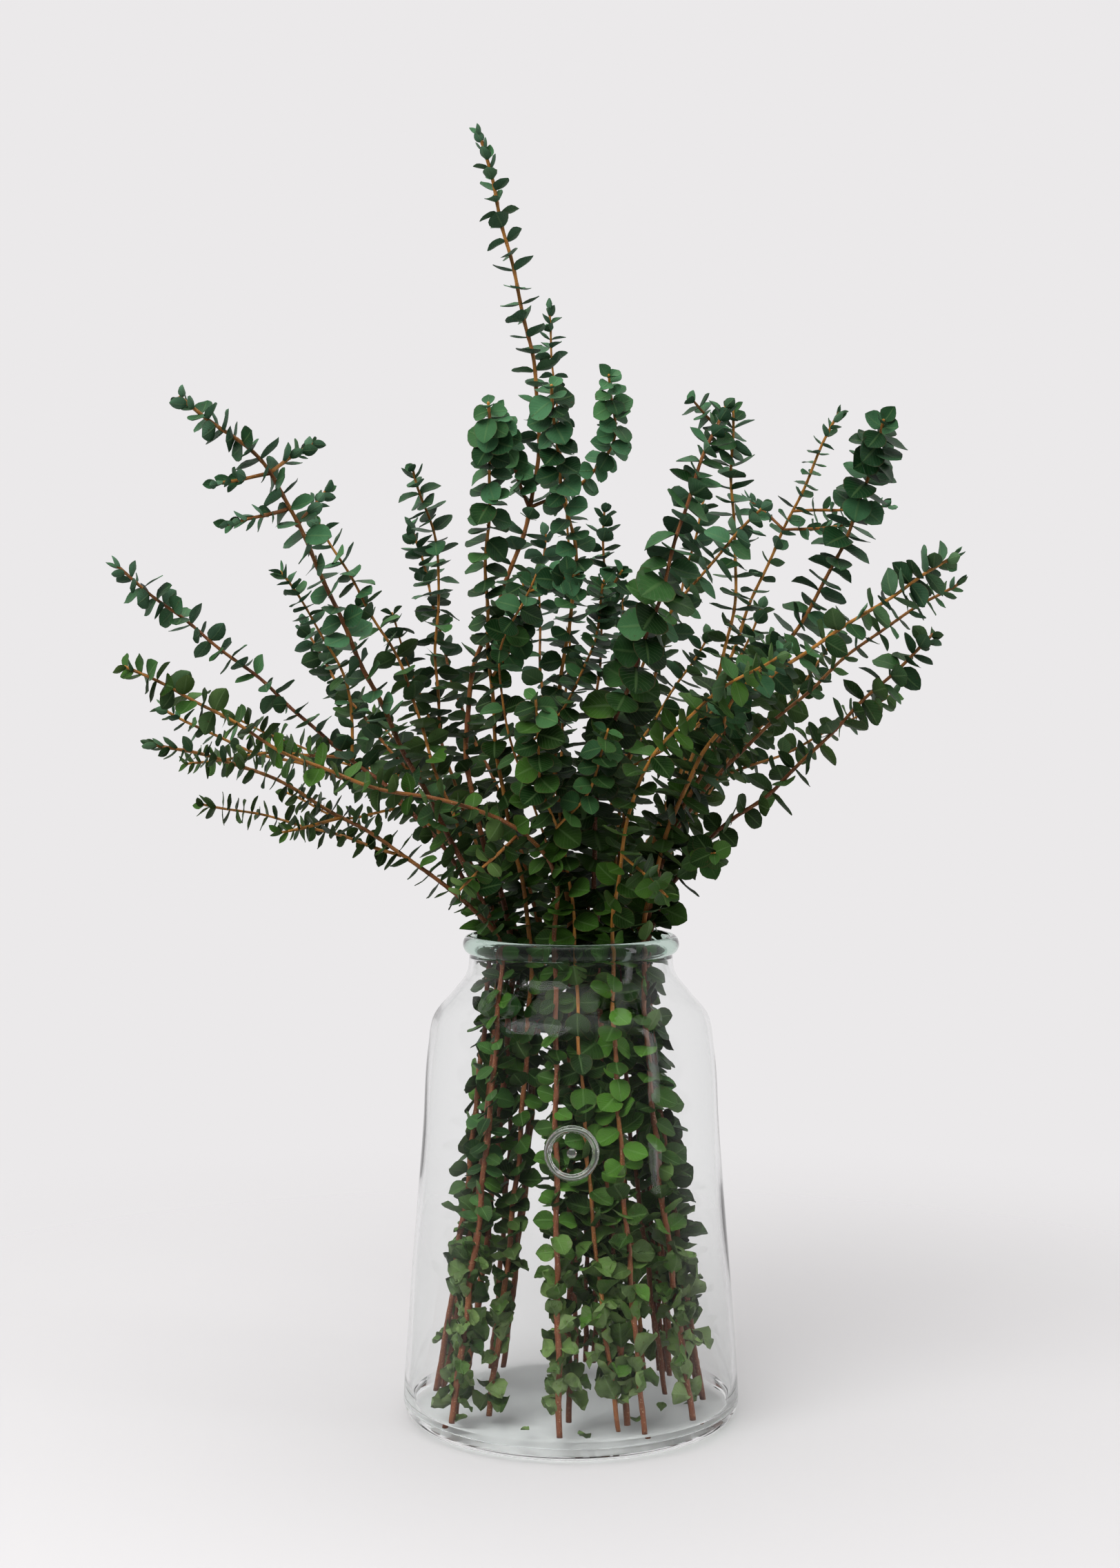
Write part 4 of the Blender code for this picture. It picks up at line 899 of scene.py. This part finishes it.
# Round a cross-section: share of the half width from the left edge over the top and back below
BLADE_RING = [(-1.0, 0), (-0.5, 1), (0.0, 1), (0.5, 1), (1.0, 0), (0.5, -1), (0.0, -1), (-0.5, -1)]
# Tone that some branches have more or less than the others
PALE_BRANCHES = {"grey_right": 0.35, "grey_left": 0.30, "leader": 0.22, "red_twigs": 0.15,
                 "tall_thin": 0.15, "dark_round": -0.2, "round_leaves": -0.1, "left_low": -0.1,
                 "right_low": -0.15}


def held(value):
    """A value kept between 0 and 1."""
    return min(1.0, max(0.0, value))


def jar_leaf_lift(to_glass, pressed, number, index, wing):
    """Degrees above the stem's right angle for a leaf in the jar: at random where it has room, up or
    down the glass the more it points at it, and along its stem the more it is pressed."""
    down, up, share = AGAINST_GLASS
    way = down if steady(number, index, 33 + wing) < share else up
    lift = spread(-62, 30, number, index, 15 + wing) * (1 - to_glass) + way * to_glass
    up, down, share = ALONG_STEM
    pressed_way = up if steady(number, index, 35 + wing) < share else down
    return max(LOWEST_JAR_LEAF, lift * (1 - pressed) + pressed_way * pressed)


def leaf_table(chain, number):
    """One row for each leaf of a chain: root, axis, outward way, lift, roll, length, width, tone (darkened
    with painted shade in the heart of the bunch), how far it is pressed to the stem, how young it is, the
    stem's radius, its number and its warmth."""
    droop, width, young_end, widest_roll, facing, _ = habit_of(chain)
    young_end *= MM * (1.0 if chain.parent is None else TWIG_YOUNG_SHARE)
    places = leaf_places(chain)
    length = length_of(chain.points)
    roots = stem_line(chain, number, places)
    axes = unit(stem_line(chain, number, np.minimum(places + 0.004, length))
                - stem_line(chain, number, places - 0.004))
    radii = np.interp(places, np.linspace(0.0, length, len(chain.points)), chain.radii())
    rows = []
    for index, (place, root, axis, radius) in enumerate(zip(places, roots, axes, radii)):
        young = max(0.0, 1.0 - (length - place) / young_end)
        in_jar = chain.parent is None and root[2] < JAR_LEAF_TOP
        pressed = held((PRESSED_BELOW - root[2]) / PRESSED_DEPTH) if in_jar else 0.0
        lost = (LOST_IN_FRONT if root[1] < 0.0 else LOST_BEHIND) * pressed
        lost += LOST_ON_BARE if number % 7 == 5 else 0.0
        if in_jar and (root[2] < JAR_LEAF_FOOT or steady(number, index, 8) < lost):
            continue
        turn = index * math.pi / 2 + spread(-0.45, 0.45, number, index, 2) + number * 1.3
        turn += spread(-0.6, 0.6, number, index, 27) if in_jar else 0.0
        side = unit(np.cross(axis, SIDE_HINT))
        out = math.cos(turn) * side + math.sin(turn) * np.cross(axis, side)
        size = BUD_LENGTH + (chain.leaf - BUD_LENGTH) * (1.0 - young) ** 0.7
        size *= spread(0.85, 1.12, number, index, 3) * (JAR_LEAF_SHARE if in_jar else 1.0)
        lift = droop + spread(-18, 18, number, index, 1) + BUD_LIFT * young**1.5
        # Painted shade: the tone is darkened near the middle of the bunch, less so higher up
        reach = HEART_RADIUS + HEART_SPREAD * max(0.0, root[2] - JAR_HEIGHT)
        heart = 1.0 - min(1.0, math.hypot(root[0] + BUNCH_OFFSET, root[1]) / reach)
        painted_shade = HEART_PAINTED_SHADE - HEART_PAINTED_SHADE_LOSS * held((root[2] - SHADE_FALLS_ABOVE) / SHADE_FALLS_OVER)
        middle_tone, widest = JAR_TONE if in_jar else OPEN_TONE
        tone = middle_tone + PALE_BRANCHES.get(chain.branch, 0.0) + YOUNG_TONE * young - painted_shade * heart
        warm = held((WARM_BELOW - root[2]) / WARM_DEPTH) + spread(-0.3, 0.3, number, 21)
        from_axis = unit(root * (1.0, 1.0, 0.0))
        for wing in (1.0, -1.0):
            way = wing * out
            own_lift = lift + spread(-8, 8, number, index, 9 + wing)
            if in_jar:
                own_lift = jar_leaf_lift(max(0.0, np.dot(way, from_axis)), pressed, number, index, wing)
            own_lift = math.radians(min(STEEPEST_JAR_LEAF if in_jar else STEEPEST_LEAF, own_lift))
            roll = math.radians(widest_roll) * (wing * spread(-1, 1, number, index, 5)
                                                + spread(-0.4, 0.4, number, index, 17 + wing))
            turned_out = math.radians(JAR_LEAF_FACING * (1 - pressed) if in_jar else facing)
            roll -= turned_out * np.dot(np.cross(axis, way), from_axis)
            shade = tone + spread(-widest, widest, number, index, 11 + wing)
            own_warm = warm + spread(-0.25, 0.25, number, index, 25 + wing)
            rows.append((*root, *axis, *way, own_lift, roll, size, width, shade, pressed, young, radius,
                         len(rows) + 131.0 * number, own_warm))
    return np.array(rows).reshape(-1, 19)


def leaf_surfaces(rows):
    """Every leaf of a table at once, as a tube of flat rings from its root to its tip. Along the leaf
    the centre line is a circular arc, (sin ku / k, (1 - cos ku) / k). Across it the blade rises from
    the midrib as a soft V, sqrt(y^2 + e^2) - e, with a sine ripple that grows towards the edge; two
    crossed sines crumple the pressed ones. The thickness falls to nothing at the edge."""
    root, axis, out = rows[:, 0:3], rows[:, 3:6], rows[:, 6:9]
    lift, roll, size, width, shade, pressed, young, radius, label, warm = rows[:, 9:].T
    factors = (1.37, 2.71, 3.33, 4.19, 5.87)
    draw = [np.modf(np.abs(np.sin(label * factor) * 4375.8545))[0] for factor in factors]
    level = np.cross(axis, out)
    width_way = np.cos(roll)[:, None] * level + np.sin(roll)[:, None] * axis
    upright = np.cos(roll)[:, None] * axis - np.sin(roll)[:, None] * level
    ahead = np.cos(lift)[:, None] * out + np.sin(lift)[:, None] * upright
    face_way = unit(np.cross(ahead, width_way))
    u = np.array([share for share, _ in BLADE_ROWS])[None, :, None]
    half = np.array([width for _, width in BLADE_ROWS])[None, :, None]
    v = np.array([share for share, _ in BLADE_RING])[None, None, :]
    face = np.array([side for _, side in BLADE_RING])[None, None, :]

    def each(values):
        """One number for each leaf, the same on all its points."""
        return values[:, None, None]

    curl = np.where(draw[0] < 0.3, -0.4 * draw[1] - 0.05, 0.1 + 0.6 * draw[0])
    bend = each(curl + 0.5 * young + 0.3 * pressed)
    span = each(size)
    forward = np.sin(bend * u) / bend * span
    rise = (1.0 - np.cos(bend * u)) / bend * span
    narrow = each(width * (1.0 - 0.2 * young) * (0.94 + 0.12 * draw[1]))
    y = v * half * narrow * span
    soft = (0.06 + 0.25 * each(pressed)) * span
    fold = each(0.10 + 0.30 * draw[2] + 0.35 * young + 0.9 * pressed)
    height = fold * (np.sqrt(y**2 + soft**2) - soft)
    ripple = each(0.012 + 0.022 * draw[3] + 0.05 * pressed) * span * v**2
    height = height + ripple * np.sin(2 * math.pi * (1.3 * u + each(draw[4])) + 1.2 * v)
    crumple = each(pressed * (0.4 + 0.6 * draw[0])) * 0.18 * span
    height = height + crumple * np.sin(9 * u + 7 * each(draw[1])) * np.sin(4 * v + 6 * each(draw[3]))
    height = height + face * BLADE_THICKNESS / 2 * (1.0 - 0.6 * v**2)
    start = each(radius * 0.6)

    def spaced(ways):
        """One direction for each leaf, the same on all its points."""
        return ways[:, None, None, :]

    tilted = (-np.sin(bend * u)[..., None] * spaced(ahead) + np.cos(bend * u)[..., None] * spaced(face_way))
    places = (spaced(root) + start[..., None] * spaced(out) + forward[..., None] * spaced(ahead)
              + rise[..., None] * spaced(face_way) + y[..., None] * spaced(width_way)
              + height[..., None] * tilted)
    places = places.reshape(-1, 3)
    count = len(rows)
    ring = len(BLADE_RING)
    body = ring_faces(len(BLADE_ROWS), ring)[:, ::-1]
    end = np.array([(0, 1, 2, 3), (0, 3, 4, 7), (4, 5, 6, 7)])
    tip = end[:, ::-1] + (len(BLADE_ROWS) - 1) * ring
    one = np.concatenate((body, end, tip))
    faces = (one[None] + (np.arange(count) * ring * len(BLADE_ROWS))[:, None, None]).reshape(-1, 4)
    below = np.tile(np.arange(ring) > 3, len(BLADE_ROWS) - 1)
    below = np.concatenate((below, np.zeros(2 * len(end), bool)))

    def on_points(values):
        """Values spread over all the points of all the leaves."""
        return np.broadcast_to(values, (count, len(BLADE_ROWS), ring)).reshape(-1)

    kept = {"blade": np.stack((on_points(u), on_points(v), on_points(each(draw[2]))), axis=-1),
            "tone": on_points(each(shade)), "warm": on_points(each(warm)),
            "aged": on_points(each(pressed * (0.15 + 0.75 * draw[4])))}
    return places, [faces], kept, np.tile(below, count)


def pressed_by_glass(places):
    """Places in the jar, moved in towards the axis or up until they clear its wall and floor."""
    reach = np.hypot(places[:, 0], places[:, 1])
    limit = np.where(places[:, 2] < JAR_HEIGHT + 0.002, inner_radius(places[:, 2]) - 0.0010, 1.0)
    share = np.minimum(1.0, limit / np.maximum(reach, 1e-6))
    places = places * np.stack((share, share, np.ones_like(share)), axis=1)
    low = inner_floor(np.hypot(places[:, 0], places[:, 1])) + 0.0008
    places[:, 2] = np.maximum(places[:, 2], low)
    return places


def leaf_finish(name, cool, warm, vein, olive, roughness):
    """A leaf's skin: from a deep to a pale green by the leaf's tone, which carries painted shade in the
    heart of the bunch, bluish on cool leaves and mossy on warm ones, with cloudy patches, a midrib, side
    veins that slant towards the tip, a thin red-brown edge and a few brown spots."""
    finish = Finish(bpy.data.materials.new(name))
    u, v, draw = finish.parts(finish.kept("blade", "Vector"))
    across = abs(v)
    midrib = across.step(0.03, 0.13, 1.0, 0.0)
    phase = (u - across * 0.34) * 8.0 + draw * 5.0
    side = abs(phase.math("FRACT", phase) - 0.5).step(0.38, 0.5)
    veins = midrib.math("MAXIMUM", midrib, side * across.step(0.85, 0.98, 0.55, 0.0))
    edge = across.step(0.90, 1.0)
    place = finish.place()
    patches = finish.clouds(place, 90.0, 3.0, 0.5)
    grains = finish.clouds(place, 900.0, 2.0)
    tone = (finish.kept("tone") + (patches - 0.5) * 0.4).step(0.0, 1.0)
    colour = finish.mix(finish.kept("warm").step(0.0, 1.0), finish.mix(tone, *cool), finish.mix(tone, *warm))
    aged = (finish.kept("aged") + (patches - 0.5) * 0.5 * finish.kept("aged")).step(0.0, 1.0)
    colour = finish.mix(aged, colour, olive)
    colour = finish.mix(veins * 0.24, colour, vein)
    colour = finish.mix(edge * 0.35, colour, (0.10, 0.055, 0.030))
    spots = finish.clouds(place, 330.0, 1.0).step(0.70, 0.76)
    colour = finish.mix(spots * 0.5, colour, (0.045, 0.028, 0.012))
    relief = veins * 0.6 + grains * 0.25 + patches * 0.3
    finish.set({"Base Color": colour, "Specular IOR Level": 0.12,
                "Roughness": patches.step(0.3, 0.7, roughness - 0.06, roughness + 0.08),
                "Normal": finish.bump(relief, 0.0005, 0.7)})
    return finish


leaf_skins = [
    leaf_finish("leaf_upper_skin", cool=((0.008, 0.033, 0.010), (0.063, 0.178, 0.080)),
                warm=((0.005, 0.017, 0.002), (0.052, 0.135, 0.016)), vein=(0.13, 0.22, 0.08),
                olive=(0.115, 0.175, 0.052), roughness=0.48),
    leaf_finish("leaf_under_skin", cool=((0.016, 0.048, 0.023), (0.074, 0.158, 0.092)),
                warm=((0.012, 0.032, 0.006), (0.075, 0.132, 0.034)), vein=(0.17, 0.25, 0.11),
                olive=(0.135, 0.19, 0.075), roughness=0.58),
]


def leaf_piece(name, rows):
    """All the leaves of a table as one piece, with sharp folds where they are closed."""
    places, faces, kept, kinds = leaf_surfaces(rows)
    piece = surface(name, pressed_by_glass(places), faces, leaf_skins, kinds, kept)
    piece.data.set_sharp_from_angle(angle=math.radians(SHARPEST_FOLD))
    return piece


for branch in BRANCHES:
    rows = np.concatenate([leaf_table(chain, number) for number, chain in enumerate(chains)
                           if chain.branch == branch])
    leaves = leaf_piece(branch + "_leaves", rows)
    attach(leaves, "root")
    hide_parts(branch)

# Fallen leaves
# Dried scraps of leaf that have dropped between the stems and lie curled on the glass floor.
# Place on the floor in cm, length in mm
FALLEN = [(-8.4, -5.6, 12), (4.6, -5.9, 9), (1.2, -9.2, 11), (-3.5, -7.6, 7), (6.4, -3.2, 8), (-1.0, 4.0, 9)]
ABOVE_FLOOR = 0.0016
# Lift and roll, and after the length: width for it, tone, pressed, young, stem's radius
FALLEN_STANCE = (0.12, 0.1)
FALLEN_LOOKS = (0.9, 0.2, 0.9, 0.0, 0.0)
FALLEN_WARMTH = 0.8
rows = []
for number, (x, y, size) in enumerate(FALLEN):
    turn = 1.9 * number
    height = inner_floor(math.hypot(x, y) * CM) + ABOVE_FLOOR
    rows.append((x * CM, y * CM, height, 0, 0, 1, math.cos(turn), math.sin(turn), 0, *FALLEN_STANCE,
                 size * MM, *FALLEN_LOOKS, 900.0 + number, FALLEN_WARMTH))
fallen = leaf_piece("fallen_leaves", np.array(rows))
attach(fallen, "root")

# Floor
# A pale matte table top that fades into the studio's white a little way behind and beside the jar.
FLOOR_HALF_WIDTH = 4.0
FLOOR_CELLS = 32
BELOW_FOOT = 0.0002
FADE_START = 0.35
FADE_END = 1.1
grid = np.linspace(-1.0, 1.0, FLOOR_CELLS + 1)
lines = np.sign(grid) * grid**2 * FLOOR_HALF_WIDTH
floor_x, floor_y = np.meshgrid(lines, lines, indexing="ij")
floor_places = np.stack((floor_x, floor_y, np.full_like(floor_x, -BELOW_FOOT)), axis=-1)
row, column = np.meshgrid(np.arange(FLOOR_CELLS), np.arange(FLOOR_CELLS), indexing="ij")
low = row * len(lines) + column
floor_faces = np.stack((low, low + len(lines), low + len(lines) + 1, low + 1), axis=-1).reshape(-1, 4)
table_top = Finish(bpy.data.materials.new("table_top"))
away = table_top.node("ShaderNodeVectorMath", {"operation": "LENGTH"}, (table_top.place(),), "Value")
table_top.set({"Base Color": (0.515, 0.507, 0.511), "Roughness": 0.8,
               "Alpha": away.step(FADE_START, FADE_END, 1.0, 0.0)})
floor = surface("floor", floor_places, [floor_faces], [table_top])

# Studio light
# A white room behind the jar, grey in front of it and brighter overhead, with one large soft lamp
# above on the left and a tall one on the right.
bpy.context.scene.view_settings.view_transform = "Standard"
world = bpy.data.worlds.new("studio")
bpy.context.scene.world = world
studio = Finish(world, "Background")
heading = studio.node("ShaderNodeTexCoord", {}, (), "Generated")
x, y, z = studio.parts(heading)
room = studio.mix(y.step(-0.25, 0.10), (0.30, 0.30, 0.30), (0.831, 0.815, 0.823))
studio.set({"Color": studio.mix(z.step(0.55, 0.95), room, (1.9, 1.88, 1.88)), "Strength": 1.0})


def lamp(name, place, target, size, power, mirrored):
    """A rectangular area lamp at a place, turned towards a target, that shows in the glass or not."""
    data = bpy.data.lights.new(name, "AREA")
    data.shape = "RECTANGLE"
    data.size, data.size_y = size
    data.energy = power
    made = bpy.data.objects.new(name, data)
    toward = np.array(target) - np.array(place)
    flat = math.hypot(toward[0], toward[1])
    made.location = place
    made.rotation_euler = (math.atan2(flat, -toward[2]), 0.0, math.atan2(-toward[0], toward[1]))
    made.visible_glossy = mirrored
    bpy.context.scene.collection.objects.link(made)


lamp("lamp_above", (-0.9, -1.3, 1.9), (0.0, 0.0, 0.5), (1.7, 1.3), 46.0, False)
lamp("lamp_side", (1.7, -0.7, 0.8), (0.0, 0.0, 0.4), (0.25, 1.5), 6.0, True)
